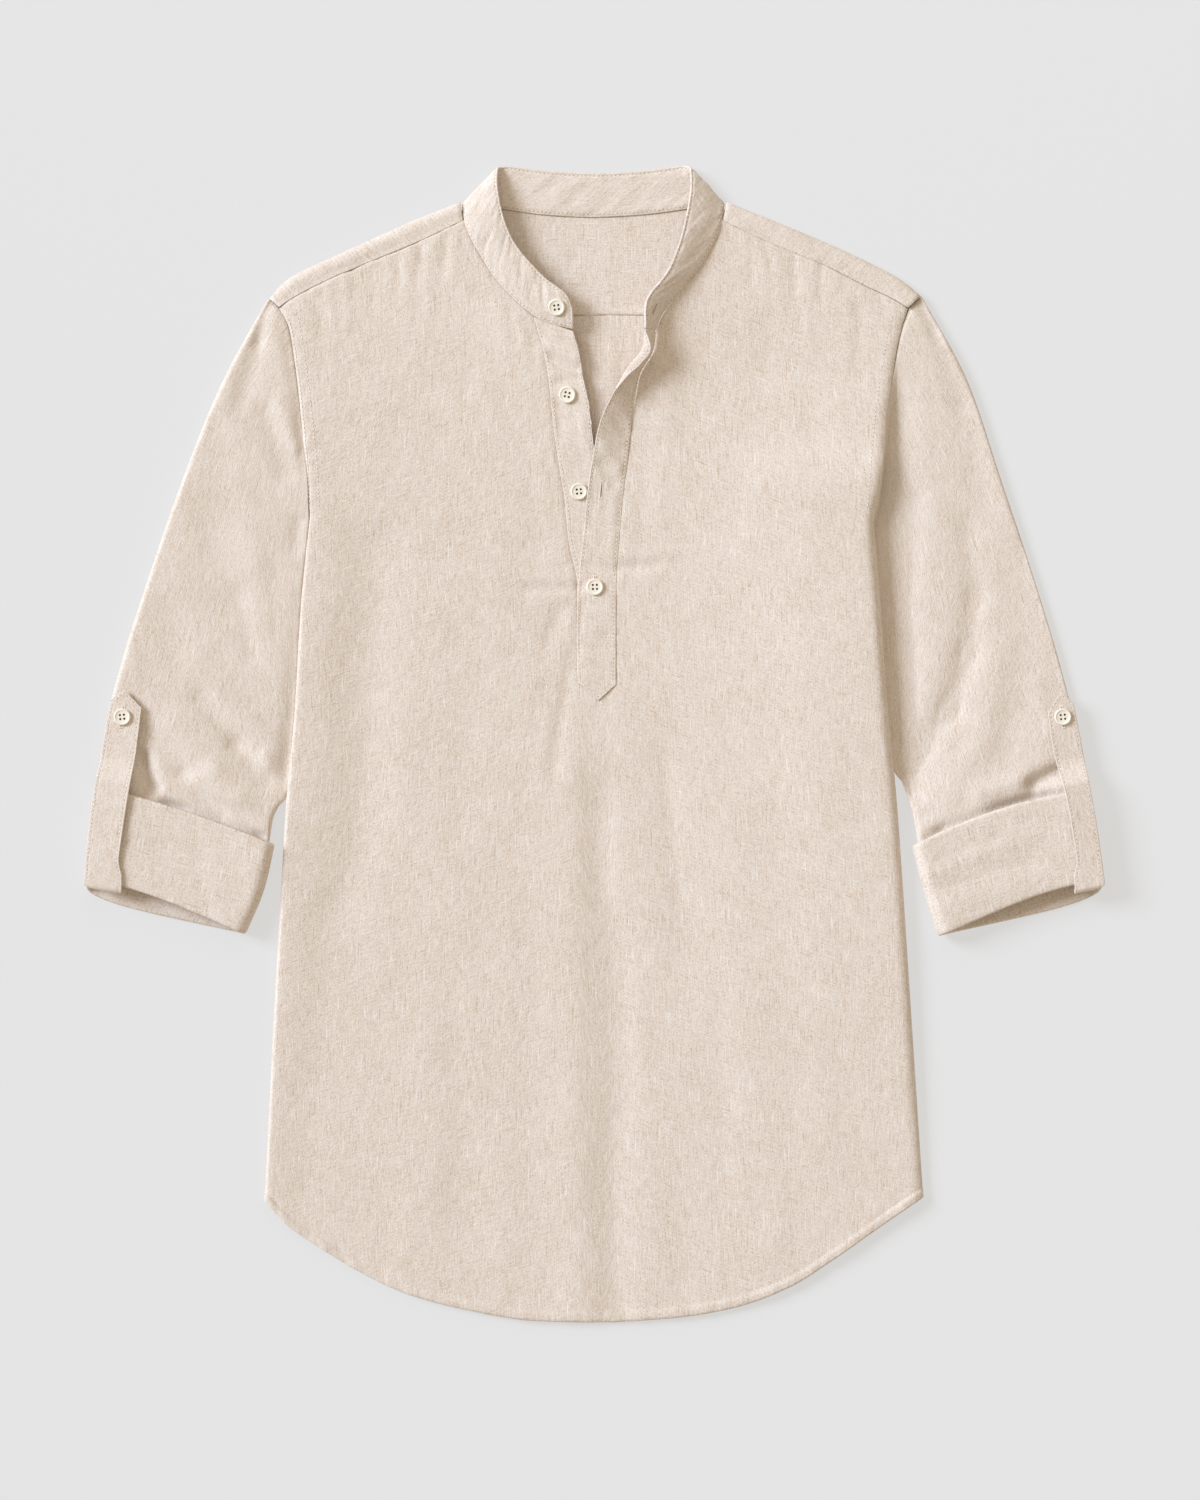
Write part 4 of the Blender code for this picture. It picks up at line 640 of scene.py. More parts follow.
def make_front():
    """The front in one piece, with its slit, its turned hem and its edges folded round the sides."""
    left, right = half_front("left"), half_front("right")
    between = np.linspace(0, 1, STRIP_COLUMNS + 2)[1:-1]
    strip = left[:, -1:, :] * (1 - between[None, :, None]) + right[:, -1:, :] * between[None, :, None]
    strip[:, :, 2] = front_top(strip[:, :, 0], strip[:, :, 1]) - CLOTH / 2
    grid = np.concatenate([left, strip, right[:, ::-1]], axis=1)
    rows, columns = grid.shape[:2]
    half = left.shape[1]
    cells = all_cells(grid)
    above_underarm = FRONT_SHARES[:-1] < UNDERARM - 1e-6
    cells[above_underarm, :UNDER_COLUMNS + 1] = False
    cells[above_underarm, -UNDER_COLUMNS - 1:] = False
    above_slit_end = FRONT_SHARES[:-1] < SLIT_END - 1e-6
    cells[above_slit_end, half - 1:half + STRIP_COLUMNS] = False

    across, down = cloth_runs(grid)
    from_hem = cloth_runs(grid[::-1])[1][::-1]
    upper = np.ones((rows, columns))
    lower_part = UNDER_COLUMNS + 4
    upper[:, :lower_part] = np.linspace(0, 1, lower_part) ** 2
    upper[:, -lower_part:] = np.linspace(1, 0, lower_part) ** 2
    from_slit = np.where(np.arange(columns) < half, across[:, half - 1:half] - across,
                         across - across[:, half + STRIP_COLUMNS:half + STRIP_COLUMNS + 1])
    in_slit = ((FRONT_SHARES > SLIT_TOP - SLIT_LEAD) & (FRONT_SHARES < SLIT_END))[:, None]
    from_slit = np.maximum(from_slit, 0)
    under_strip = (np.arange(columns) < half) & (FRONT_SHARES < SLIT_END)[:, None]
    grid[..., 2] -= np.where(under_strip, SLIT_DIP * (1 - ease(from_slit / SLIT_DIP_RUN)), 0)
    lift = puckers(down, across, 15, 0.75, 7.5, 1.5)
    lift += puckers(from_hem, across, 9, 1.0, 5, 5.5, slant=0.5)
    lift += np.where(in_slit, puckers(from_slit, down, 8, 0.6, 9, 8.5) * ease(from_slit / 4), 0)
    lift += ridge(from_hem, **HEM_CREST) + ridge(from_hem, **HEM_GROOVE)
    grid[..., 2] += np.maximum(lift * upper, LOWEST_LIFT)
    hem = 1 - ease((from_hem - HEM_WIDTH + HEM_STEP / 2) / HEM_STEP)
    thickness = LINEN_THICKNESS + (HEM_THICKNESS - LINEN_THICKNESS) * hem * upper
    from_armhole = np.minimum(abs(across - across[:, UNDER_COLUMNS + 1:UNDER_COLUMNS + 2]),
                              abs(across[:, -UNDER_COLUMNS - 2:-UNDER_COLUMNS - 1] - across))
    by_armhole = (FRONT_SHARES < UNDERARM + ARMHOLE_SEAM["below"])[:, None]
    lift = puckers(from_armhole, down, 13, 0.7, 5, 9.5) * ease(from_armhole / 5)
    grid[..., 2] += np.where(by_armhole, lift, 0)
    at_armhole = ARMHOLE_SEAM["thickness"] + ease(from_armhole / ARMHOLE_SEAM["run"])
    thickness = np.where(by_armhole, np.minimum(thickness, at_armhole), thickness)
    return shell("front_linen", grid, thickness, cells=cells, origin=columns // 2), grid


BACK_RISE = {"x": 4, "y": 235, "width": 20, "length": 50, "height": 3.2}    # behind the open neck
BACK_RISE_END = 14       # below the yoke, where that rise fades out
MOST_BACK_LIFT = 1.0     # of its creases and crumples


def make_back():
    """The back, flat on the surface inside the folded-round edges of the front."""
    armhole_share = 0.3
    hem_gap = 1.5
    side_lap = 0.6           # the back reaches this far over the front's folded-round edges
    columns = 110
    shares = np.concatenate([np.linspace(0, armhole_share, 44), np.linspace(armhole_share, 1, 120)])
    rows = []
    for v in np.unique(shares):
        ends = []
        for side in ("left", "right"):
            armhole = ARMHOLE[side][ARMHOLE[side][:, 1] < BACK_YOKE_SEAM_Y - 4]
            armhole = np.vstack([(np.interp(BACK_YOKE_SEAM_Y, ARMHOLE[side][::-1, 1], ARMHOLE[side][::-1, 0]),
                                  BACK_YOKE_SEAM_Y - SEAM_GAP), armhole])
            if v < armhole_share:
                x, y = along(armhole, v / armhole_share)
                tuck = SEAM_GAP
            else:
                x, y = along(SIDE_FOLD[side], (v - armhole_share) / (1 - armhole_share))
                tuck = FOLD_RADIUS + UNDERSIDE - side_lap
            ends.append((x - SIGN[side] * tuck, y))
        share = np.linspace(0, 1, columns)
        straight = np.outer(1 - share, ends[0]) + np.outer(share, ends[1])
        hem_y = smooth(HEM[:, 0], HEM[:, 1], straight[:, 0])
        corner_y = np.interp(share, [0, 1], [HEM[0, 1], HEM[-1, 1]])
        straight[:, 1] += (hem_y - corner_y + hem_gap) * v ** 3
        rows.append(np.column_stack([straight, np.full(columns, LINEN_THICKNESS / 2)]))
    grid = np.array(rows)
    across, down = cloth_runs(grid)
    x, y = grid[..., 0], grid[..., 1]
    inside = ease(across / 10) * ease((across[:, -1:] - across) / 10)
    lift = fold_relief(BACK_CREASES, x, y) + puckers(down, across, 12, 0.5, 8, 2.5)
    lift = lift + 0.5 * crumple(x, y, 30.0)
    spot = BACK_RISE
    risen = spot["height"] * np.exp(-((x - spot["x"]) / spot["width"]) ** 2
                                     - ((y - spot["y"]) / spot["length"]) ** 2)
    lift = np.clip(lift, 0, MOST_BACK_LIFT) + risen * ease((BACK_YOKE_SEAM_Y - y) / BACK_RISE_END)
    grid[..., 2] += lift * inside
    return shell("back_linen", grid, LINEN_THICKNESS, origin=columns // 2)


def make_yoke():
    """The yoke: flat under the back of the neck, over each shoulder fold and down to the front seams."""
    flat_rows = 26
    shoulder_columns = 48
    neck_columns = 54
    front_rows = 12
    lap = 1.2
    seam_y = BACK_YOKE_SEAM_Y - lap
    neck_seam = np.column_stack([COLLAR["seam_x"], COLLAR["seam_y"] + 1.0])[BACK_OF_COLLAR]
    back_edge = along(neck_seam, np.linspace(0, 1, 60))
    outward = np.linspace(0, 1, shoulder_columns)
    columns = []
    for side in ("left", "right"):
        block = []
        for share in 1 - outward if side == "left" else outward:
            fold = along(SHOULDER[side], share)
            seam = along(FRONT_YOKE_SEAM[side], share)
            across = (seam - fold) / np.linalg.norm(seam - fold)
            width = np.linalg.norm(seam - fold) - 0.3 * SEAM_GAP
            armhole_x = np.interp(BACK_YOKE_SEAM_Y, ARMHOLE[side][::-1, 1], ARMHOLE[side][::-1, 0])
            neck_x = SHOULDER[side][0, 0]
            back = np.array([neck_x + (armhole_x - SIGN[side] * SEAM_GAP - neck_x) * share, seam_y])
            top = float(front_top(fold[0], fold[1], 0)) + 0.5 * float(crumple(fold[0], fold[1], 50.0))
            end_height = float(front_top(seam[0], seam[1], FAR * (1 - share) + 8)) - CLOTH / 2
            inset, height = fold_section(FOLD_RADIUS * 0.8, top, 0, CLOTH, ROLL_ANGLES)
            lower = fold + across * inset[0]
            column = [(*(back + (lower - back) * k / flat_rows), LINEN_THICKNESS / 2)
                      for k in range(flat_rows)]
            column += [(*(fold + across * a), z) for a, z in zip(inset, height)]
            for k in np.linspace(0, 1, front_rows + 1)[1:]:
                a = inset[-1] + (width - inset[-1]) * k
                z = height[-1] + (end_height - height[-1]) * ease(k)
                column.append((*(fold + across * a), float(z)))
            block.append(column)
        columns.append(block)
    total_rows = len(columns[0][0])
    neck = []
    left_x, right_x = columns[0][-1][0][0], columns[1][0][0][0]
    for x in np.linspace(left_x, right_x, neck_columns + 2)[1:-1]:
        top_y = np.interp(x, back_edge[:, 0], back_edge[:, 1])
        column = [(x, seam_y + (top_y - seam_y) * k / flat_rows, LINEN_THICKNESS / 2)
                  for k in range(flat_rows + 1)]
        column += [column[-1]] * (total_rows - len(column))
        neck.append(column)
    grid = np.array(columns[0] + neck + columns[1]).transpose(1, 0, 2)
    cells = all_cells(grid)
    cells[flat_rows:, shoulder_columns - 1:shoulder_columns + neck_columns] = False
    across, _ = cloth_runs(grid)
    flat = np.arange(total_rows)[:, None] < flat_rows
    x, y = grid[..., 0], grid[..., 1]
    lying = 0.95 * (1 - ease((y - seam_y) / 5)) + 0.5 * np.maximum(crumple(x, y, 20.0), 0)
    lying += np.maximum(puckers(y - seam_y, x, 10, 0.4, 7, 3.5), 0)
    from_front_seam = cloth_runs(grid[::-1])[1][::-1]
    folded = puckers(from_front_seam, across, 12, 0.45, 9, 6.5) + 0.16 * unevenness(x, y, 9, 9, 4.4)
    folded += 0.25 * np.exp(-(from_front_seam / 2.2) ** 2)
    shoulder = np.ones(grid.shape[1], dtype=bool)
    shoulder[shoulder_columns:shoulder_columns + neck_columns] = False
    on_top = (np.arange(total_rows)[:, None] > flat_rows + UNDER_COLUMNS) & shoulder
    grid[..., 2] += np.where(flat, lying, np.where(on_top, folded, 0))
    return shell("yoke_linen", grid, LINEN_THICKNESS, cells=cells, origin=grid.shape[1] // 2)


# ---------------------------------------------------------------- band and plackets

BAND_HEIGHT = 27.0
BAND_CORNER = 7.0        # radius of its corner at the buttoned end
STAND_SHARE = 0.75       # how far the rolled placket stands, of the room it has
BAND_STAND = 0.55        # the same for the band, away from the roll
BAND_SEAT = {"front": 0.2, "back": 0.8}      # how far its seam lies above the front and above the yoke
BAND_BOW = 1.2           # how far its middle bows out, in front
FLOOR_GAP = 0.1
BAND_COLUMNS = "seam_x seam_y top_x top_y front rise"
UNDER_PLACKET_COLUMNS = "seam_x seam_y edge_x edge_y lift"
TOP_PLACKET_COLUMNS = "seam_x seam_y edge_x edge_y rise turn"
UNDER_WIDTH = 27.5       # of the under placket, over its cloth
TOP_WIDTH = 26.5
TURN_START = 0.75        # share of the top placket's width at which its roll turns back


def band_grid(rows=330):
    """Middle points of the band: rows round the neck, columns from the seam to the free edge."""
    share = np.linspace(0, 1, rows)
    seam_x, seam_y, top_x, top_y, front, rise = rows_of(COLLAR, BAND_COLUMNS, share).T
    rise = rise * (BAND_STAND + (STAND_SHARE - BAND_STAND) * ease((share - 0.8) / 0.18))
    on_front = front_top(seam_x, seam_y) + BAND_SEAT["front"]
    on_back = LINEN_THICKNESS + BAND_SEAT["back"]
    seam_z = front * on_front + (1 - front) * on_back
    grid = []
    for k in strip_shares(BAND_HEIGHT):
        bow = BAND_BOW * np.sin(math.pi * k) * front
        x, y = seam_x + (top_x - seam_x) * k, seam_y + (top_y - seam_y) * k
        grid.append(np.column_stack([x, y, seam_z + rise * k + bow]))
    grid = np.array(grid).transpose(1, 0, 2)
    across, down = cloth_runs(grid)
    from_free = across[:, -1:] - across
    lift = puckers(from_free, down, 16, 1.0, 3.6, 21.5, slant=0.4) * ease(from_free / 6)
    lift += puckers(across, down, 9, 0.8, 4.5, 24.5, slant=-0.4) * ease(across / 6)
    ripples = unevenness(down, across, 7.5, 22, 29.0) + 0.6 * unevenness(down, across, 4.2, 14, 30.0)
    ripple_height = (1.1 - 0.7 * front)[:, None]
    lift += ripple_height * np.sin(math.pi * across / across[:, -1:]).clip(0) ** 0.8 * ripples
    lift += 0.5 * unevenness(down, across, 22, 14, 27.0)
    ends = ease(down / 14) * ease((down[-1:] - down) / 14)
    grid = grid + grid_normals(grid, up=True) * (lift * (0.35 + 0.65 * ends))[..., None]
    # Round the corner at the buttoned end.
    a, b = 1 - np.minimum(down / BAND_CORNER, 1), 1 - np.minimum(from_free / BAND_CORNER, 1)
    drawn_in = 1 - np.maximum(a, b) / np.maximum(np.hypot(a, b), TINY)
    along_band = grid[30] - grid[0]
    along_band = along_band / np.linalg.norm(along_band, axis=1, keepdims=True)
    across_band = grid[:, :1] - grid[:, -1:]
    across_band = across_band / np.linalg.norm(across_band, axis=2, keepdims=True)
    grid = grid + BAND_CORNER * drawn_in[..., None] * (a[..., None] * along_band + b[..., None] * across_band)
    # Keep the back of the band above the floor.
    grid[..., 2] = np.maximum(grid[..., 2], BAND_CLOTH / 2 + FLOOR_GAP)
    return grid


def band_thickness(grid):
    """The band's thickness, sewn all round."""
    across, down = cloth_runs(grid)
    return sewn_thickness(BAND_CLOTH, across, across[:, -1:] - across, down, down[-1:] - down)


def under_placket_grid():
    """Middle points of the under placket, level with the front beside its seam."""
    values = np.column_stack([UNDER_PLACKET[name] for name in UNDER_PLACKET_COLUMNS.split()])
    rows_y = np.linspace(NECK_EDGE["left"]["y"][-1], SLIT_END_Y, 150)
    seam_x, seam_y, edge_x, edge_y, lift = smooth(-UNDER_PLACKET["seam_y"], values, -rows_y).T
    grid = []
    for k in strip_shares(UNDER_WIDTH):
        x, y = seam_x + (edge_x - seam_x) * k, seam_y + (edge_y - seam_y) * k
        grid.append(np.column_stack([x, y, front_top(x, y) + lift * k * k]))
    grid = np.array(grid).transpose(1, 0, 2)
    x, y = grid[..., 0], grid[..., 1]
    across, down = cloth_runs(grid)
    from_free = across[:, -1:] - across
    lift = puckers(across, down, 7, 0.9, 6, 31.5) + puckers(from_free, down, 6, 0.8, 8, 33.5)
    lift += fold_relief(UNDER_PLACKET_CREASES, x, y) + 0.4 * unevenness(x, y, 9, 12, 35.5)
    uncovered = ease((y - 175) / 40)
    grid[..., 2] += lift * (0.15 + 0.85 * uncovered) * ease(across / 5) - under_thickness(grid) / 2
    return grid


def under_thickness(grid):
    """The under placket's thickness, sewn down along its seam."""
    across, _ = cloth_runs(grid)
    return sewn_thickness(DOUBLE_CLOTH, across, across[:, -1:] - across)


TOP_PLACKET_ROWS = 170


def top_placket_grid(rows=TOP_PLACKET_ROWS):
    """Middle points of the top placket, from its seam to its free edge, which rolls open above."""
    k = strip_shares(TOP_WIDTH, step=1.8)
    grid = []
    sections = rows_of(TOP_PLACKET, TOP_PLACKET_COLUMNS, np.linspace(0, 1, rows))
    for seam_x, seam_y, edge_x, edge_y, rise, turn in sections:
        rise = rise * STAND_SHARE
        base = front_top(seam_x, seam_y) + PLACKET_SEAT
        rolled = ease(turn)
        up = (1 - rolled) * k + rolled * np.minimum(k / TURN_START, 1)
        back = rolled * np.maximum(k - TURN_START, 0) / (1 - TURN_START)
        x = seam_x + (edge_x - seam_x) * up + turn * back
        y = seam_y + (edge_y - seam_y) * up
        lying = front_top(x, y) + PLACKET_SEAT - 0.1 * (1 - ease(k / 0.1))
        z = lying + (np.maximum(lying, base) - lying) * ease(rise / 2)
        grid.append(np.column_stack([x, y, z + rise * up ** 0.8 + 1.5 * back]))
    tip_x, tip_y = PLACKET_POINT
    half_width = abs(grid[-1][0][0] - grid[-1][-1][0]) / 2
    foot = grid[-1]
    for step in PLACKET_POINT_STEPS:
        x = foot[:, 0]
        reach = np.maximum(1 - np.abs(x - tip_x) / half_width, 0.02)
        end_y = foot[:, 1] + (tip_y - foot[:, 1]) * reach * step
        grid.append(np.column_stack([x, end_y, front_top(x, end_y) + PLACKET_SEAT]))
    grid = np.array(grid)
    across, down = cloth_runs(grid)
    from_free = across[:, -1:] - across
    lift = puckers(across, down, 6, 0.4, 7, 41.5) + puckers(from_free, down, 6, 0.6, 9, 43.5)
    lift += (0.35 * unevenness(down, across, 18, 14, 45.0)
             + fold_relief(TOP_PLACKET_CREASES, grid[..., 0], grid[..., 1]))
    lift *= 0.2 + 0.8 * ease(across / 5)
    return grid + grid_normals(grid, up=True) * lift[..., None]


def placket_thickness(grid, point=False):
    """The thickness of the top placket or a tab, thinned beside its seam or outer edge."""
    across, down = cloth_runs(grid)
    edges = [across, across[:, -1:] - across]
    if point:
        edges.append(0.7 * (down[-1:] - down))
    return np.minimum(rim_thickness(TOP_CLOTH, *edges), 0.5 + 0.5 * ease(across / 2))


# ---------------------------------------------------------------- sleeves

FOLD_STEPS = np.linspace(-90, 90, 13)
PRESSED_RADIUS = 4.0     # of a sleeve's pressed folds
TUBE_TOP_COLUMNS = 56
TUBE_BOTTOM_COLUMNS = 26
TUBE_MIDDLE = len(FOLD_STEPS) + TUBE_TOP_COLUMNS // 2


def tube_row(outer, inner, heights, thickness, radius=FOLD_RADIUS):
    """One row of a flattened tube, round from the lower outer side, and its insets from the outer fold."""
    outer_fold, middle, inner_fold, lift = heights
    width = np.linalg.norm(inner - outer)
    out_inset, out_z = fold_section(radius, outer_fold + lift, lift, thickness, FOLD_STEPS)
    in_inset, in_z = fold_section(radius, inner_fold + lift, lift, thickness, FOLD_STEPS[::-1])
    top = radius + (width - 2 * radius) * np.linspace(0, 1, TUBE_TOP_COLUMNS + 2)[1:-1]
    top_z = (middle + (outer_fold - middle) * np.exp(-((top - radius) / FOLD_SLOPE) ** 2)
             + (inner_fold - middle) * np.exp(-((width - radius - top) / FOLD_SLOPE) ** 2)
             + lift - thickness / 2)
    bottom = radius + (width - 2 * radius) * np.linspace(1, 0, TUBE_BOTTOM_COLUMNS + 2)[1:-1]
    inset = np.concatenate([out_inset, top, width - in_inset, bottom])
    z = np.concatenate([out_z, top_z, in_z, np.full(len(bottom), lift + thickness / 2)])
    plan = outer + np.outer(inset / width, inner - outer)
    return np.column_stack([plan, z]), inset / width


def tube_upper():
    """How much each column of a tube belongs to its upper side."""
    turn = np.clip(np.sin(np.radians(FOLD_STEPS)), 0, 1) ** 1.5
    return np.concatenate([turn, np.ones(TUBE_TOP_COLUMNS), turn[::-1], np.zeros(TUBE_BOTTOM_COLUMNS)])


ROLL_BOW = {"left": 3.0, "right": 6.0}       # how far the top edge of a roll arches
ROLL_DIPS = {
    "left": table("share depth", [(0, 1), (0.25, 1.2), (0.33, 2), (0.40, 5), (0.46, 4.5), (0.55, 2.5),
                                  (0.65, 2.2), (0.78, 2), (0.86, 3), (0.91, 4.5), (0.96, 2), (1, 1)]),
    "right": table("share depth", [(0, 1), (0.15, 2), (0.22, 4.5), (0.32, 5), (0.45, 5), (0.52, 4),
                                   (0.58, 2.2), (0.66, 1.5), (0.76, 1.6), (0.83, 4), (0.88, 2.6), (0.94, 1.2),
                                   (1, 1)]),
}
ROLL_DIP_RUN = 5.0       # how far above a roll its sleeve begins to sink


def roll_bow(side, share):
    """The arch of a roll's top edge, at shares of its width."""
    return ROLL_BOW[side] * np.sin(math.pi * np.clip(share, 0, 1)) ** 0.8


def dip_at_roll(side, x, y):
    """How far the sleeve sinks where it goes in under the top edge of its roll."""
    outer_x, outer_y, inner_x, inner_y = (ROLL[side][name][0] for name in ROLL_COLUMNS.split())
    run_x, run_y = inner_x - outer_x, inner_y - outer_y
    length = math.hypot(run_x, run_y)
    share = ((x - outer_x) * run_x + (y - outer_y) * run_y) / length ** 2
    above = (run_x * (y - outer_y) - run_y * (x - outer_x)) / length * -SIGN[side] - roll_bow(side, share)
    depth = smooth(ROLL_DIPS[side]["share"], ROLL_DIPS[side]["depth"], share)
    return depth * np.exp(-(np.maximum(above, 0) / ROLL_DIP_RUN) ** 2)


BODY_DIPS = {
    "left": table("y depth", [(-45, 0.5), (-20, 2.5), (30, 2.5), (90, 1.0), (150, 0), (310, 0)]),
    "right": table("y depth", [(-45, 0.8), (-20, 3.5), (40, 5.5), (200, 5.5), (235, 3.8), (265, 1.4),
                               (310, 0.3)]),
}
DIP_WIDTHS = {"left": ((7.0, 1.0),), "right": ((22.0, 0.7), (75.0, 0.3))}    # of a dip, and their shares
SLEEVE_TILT = {"left": 0.0, "right": 2.4}    # how much lower the outer side of a sleeve lies
TILT_START = 25.0        # from the body
TILT_RUN = 100.0
CREASE_DEPTH = {"left": 1.9, "right": 1.6}   # how deep the sleeve's creases are, against their table
HEAD_RUN = {"left": 16.0, "right": 5.0}      # how far a sleeve takes to leave the height of the front's edge
LOWEST_TOP = CLOTH + 0.7                     # the least height of a sleeve's upper side
BODY_GAP = {"least": 1.5, "run": 3.0, "lap": 1.0}    # gaps this small close, and the sleeve goes in under


def dip_by_body(side, x, y):
    """How far the sleeve sinks beside the body, which lies higher."""
    armhole = ARMHOLE[side][::-1]
    fold = SIDE_FOLD[side][::-1]
    body_y = np.concatenate([fold[:, 1], armhole[1:, 1]])
    body_x = np.concatenate([fold[:, 0], armhole[1:, 0]])
    from_body = np.maximum((x - np.interp(y, body_y, body_x)) * SIGN[side], 0)
    depth = smooth(BODY_DIPS[side]["y"], BODY_DIPS[side]["depth"], y)
    tilt = SLEEVE_TILT[side] * np.clip((from_body - TILT_START) / TILT_RUN, 0, 1)
    near = sum(share * np.exp(-(from_body / width) ** 2) for width, share in DIP_WIDTHS[side])
    return depth * near + tilt


def make_sleeve(side, rows=150):
    """A sleeve as a flattened tube, closed against the body where it lies beside it."""
    armhole = ARMHOLE[side] + np.array([SIGN[side] * SEAM_GAP, 0])
    grid = []
    for share in np.linspace(0, 1, rows):
        values = rows_of(SLEEVE[side], SLEEVE_COLUMNS, share)
        outer, inner = values[0:2], values[2:4]
        body_x = np.interp(inner[1], SIDE_FOLD[side][::-1, 1], SIDE_FOLD[side][::-1, 0])
        gap = abs(inner[0] - body_x)
        closed = 1 - float(ease((gap - BODY_GAP["least"]) / BODY_GAP["run"]))
        inner = inner - np.array([SIGN[side] * (gap + BODY_GAP["lap"]) * closed, 0])
        heights = values[4:].copy()
        heights[0] = heights[1] + 0.1 * (heights[0] - heights[1])
        row, across = tube_row(outer, inner, heights, CLOTH, PRESSED_RADIUS)
        fade = max(1 - share / 0.3, 0) ** 2
        bulge = along(armhole, across) - armhole[0] - np.outer(across, armhole[-1] - armhole[0])
        row[:, :2] += bulge * fade
        grid.append(row)
    grid = np.array(grid)
    x, y = grid[..., 0], grid[..., 1]
    _, down = cloth_runs(grid)
    seed = 60.0 + SIGN[side]
    lift = CREASE_DEPTH[side] * fold_relief(SLEEVE_CREASES[side], x, y) + 0.8 * crumple(x, y, seed)
    lift -= dip_at_roll(side, x, y)
    lift -= dip_by_body(side, x, y) * ease(down / 5)
    lift += puckers(down, y, 12, 0.7, 6, seed) * ease(down / 4)
    lowest = LOWEST_TOP - grid[..., 2]
    upper = tube_upper()[None, :]
    edge_height = front_top(x[0], y[0], 0) - 0.75 * ARMHOLE_DROP - CLOTH / 2 - 0.67
    round_share = np.linspace(0, 1, grid.shape[1])[None, :]
    meeting = (edge_height - grid[0, :, 2]) * (1 - ease((round_share - 0.45) / 0.12))
    grid[..., 2] += upper * np.where(upper > 0.5, meeting, 0) * (1 - ease(down / HEAD_RUN[side]))
    grid[..., 2] += upper * np.maximum(lift, np.minimum(lowest, 0))
    under = np.zeros(grid.shape[1])
    under[-TUBE_BOTTOM_COLUMNS:] = np.sin(np.linspace(0, math.pi, TUBE_BOTTOM_COLUMNS))
    grid[..., 2] += under * 0.7 * np.maximum(crumple(x, y, seed + 9), 0)
    return shell(f"sleeve_{side}_linen", grid, LINEN_THICKNESS, closed=True, origin=TUBE_MIDDLE)


ROLL_SHARES = np.concatenate([[0, 0.006, 0.014, 0.024, 0.034, 0.05], np.linspace(0.07, 0.96, 34),
                              [0.975, 0.988, 1]])


def make_roll(side):
    """The turned-up end of a sleeve, whose upper lip hangs back and whose lower lip reaches out."""
    grid = []
    for share in ROLL_SHARES:
        values = rows_of(ROLL[side], ROLL_COLUMNS, share)
        outer, inner = values[0:2], values[2:4]
        row, across = tube_row(outer, inner, ROLL_HEIGHT.values(), ROLL_CLOTH)
        down = np.array([(inner - outer)[1], -(inner - outer)[0]]) * SIGN[side] * -1
        down = down / np.linalg.norm(down)
        upper = ease((row[:, 2] - ROLL_CLOTH) / (ROLL_HEIGHT["middle"] - 2 * ROLL_CLOTH))
        back = -LIP_BACK * np.sin(math.pi * np.clip(across, 0, 1) ** 0.6)
        forward = LIP_FORWARD * np.sin(math.pi * np.clip(across, 0, 1) ** 0.45)
        shift = (back * upper + forward * (1 - upper)) * share ** 1.5
        shift = shift - upper * roll_bow(side, across) * (1 - share) ** 2
        row[:, :2] += np.outer(shift, down)
        grid.append(row)
    grid = np.array(grid)
    x, y = grid[..., 0], grid[..., 1]
    across, down = cloth_runs(grid)
    from_mouth = down[-1:] - down
    seed = 80.0 + SIGN[side]
    lift = fold_relief(ROLL_CREASES[side], x, y) + 0.5 * crumple(x, y, seed)
    lift += puckers(down, across, 8, 0.45, 11, seed + 2) + puckers(from_mouth, across, 8, 0.4, 12, seed + 3)
    grid[..., 2] += tube_upper()[None, :] * np.minimum(lift, 0.7)
    soft_lip = 1 - 0.3 * np.exp(-(from_mouth / 1.6) ** 2) - 0.35 * np.exp(-(down / 1.0) ** 2)
    thickness = ROLL_CLOTH * soft_lip
    return shell(f"sleeve_roll_{side}_linen", grid, thickness, closed=True, origin=TUBE_MIDDLE)


SLEEVE_TOP = 9.4         # height of the sleeve under a tab
TAB_CURL = 0.9           # how far the inner side of a tab stands off
TAB_POINT_STEPS = (0.08, 0.18, 0.3, 0.44, 0.58, 0.7, 0.8, 0.88, 0.95, 1)


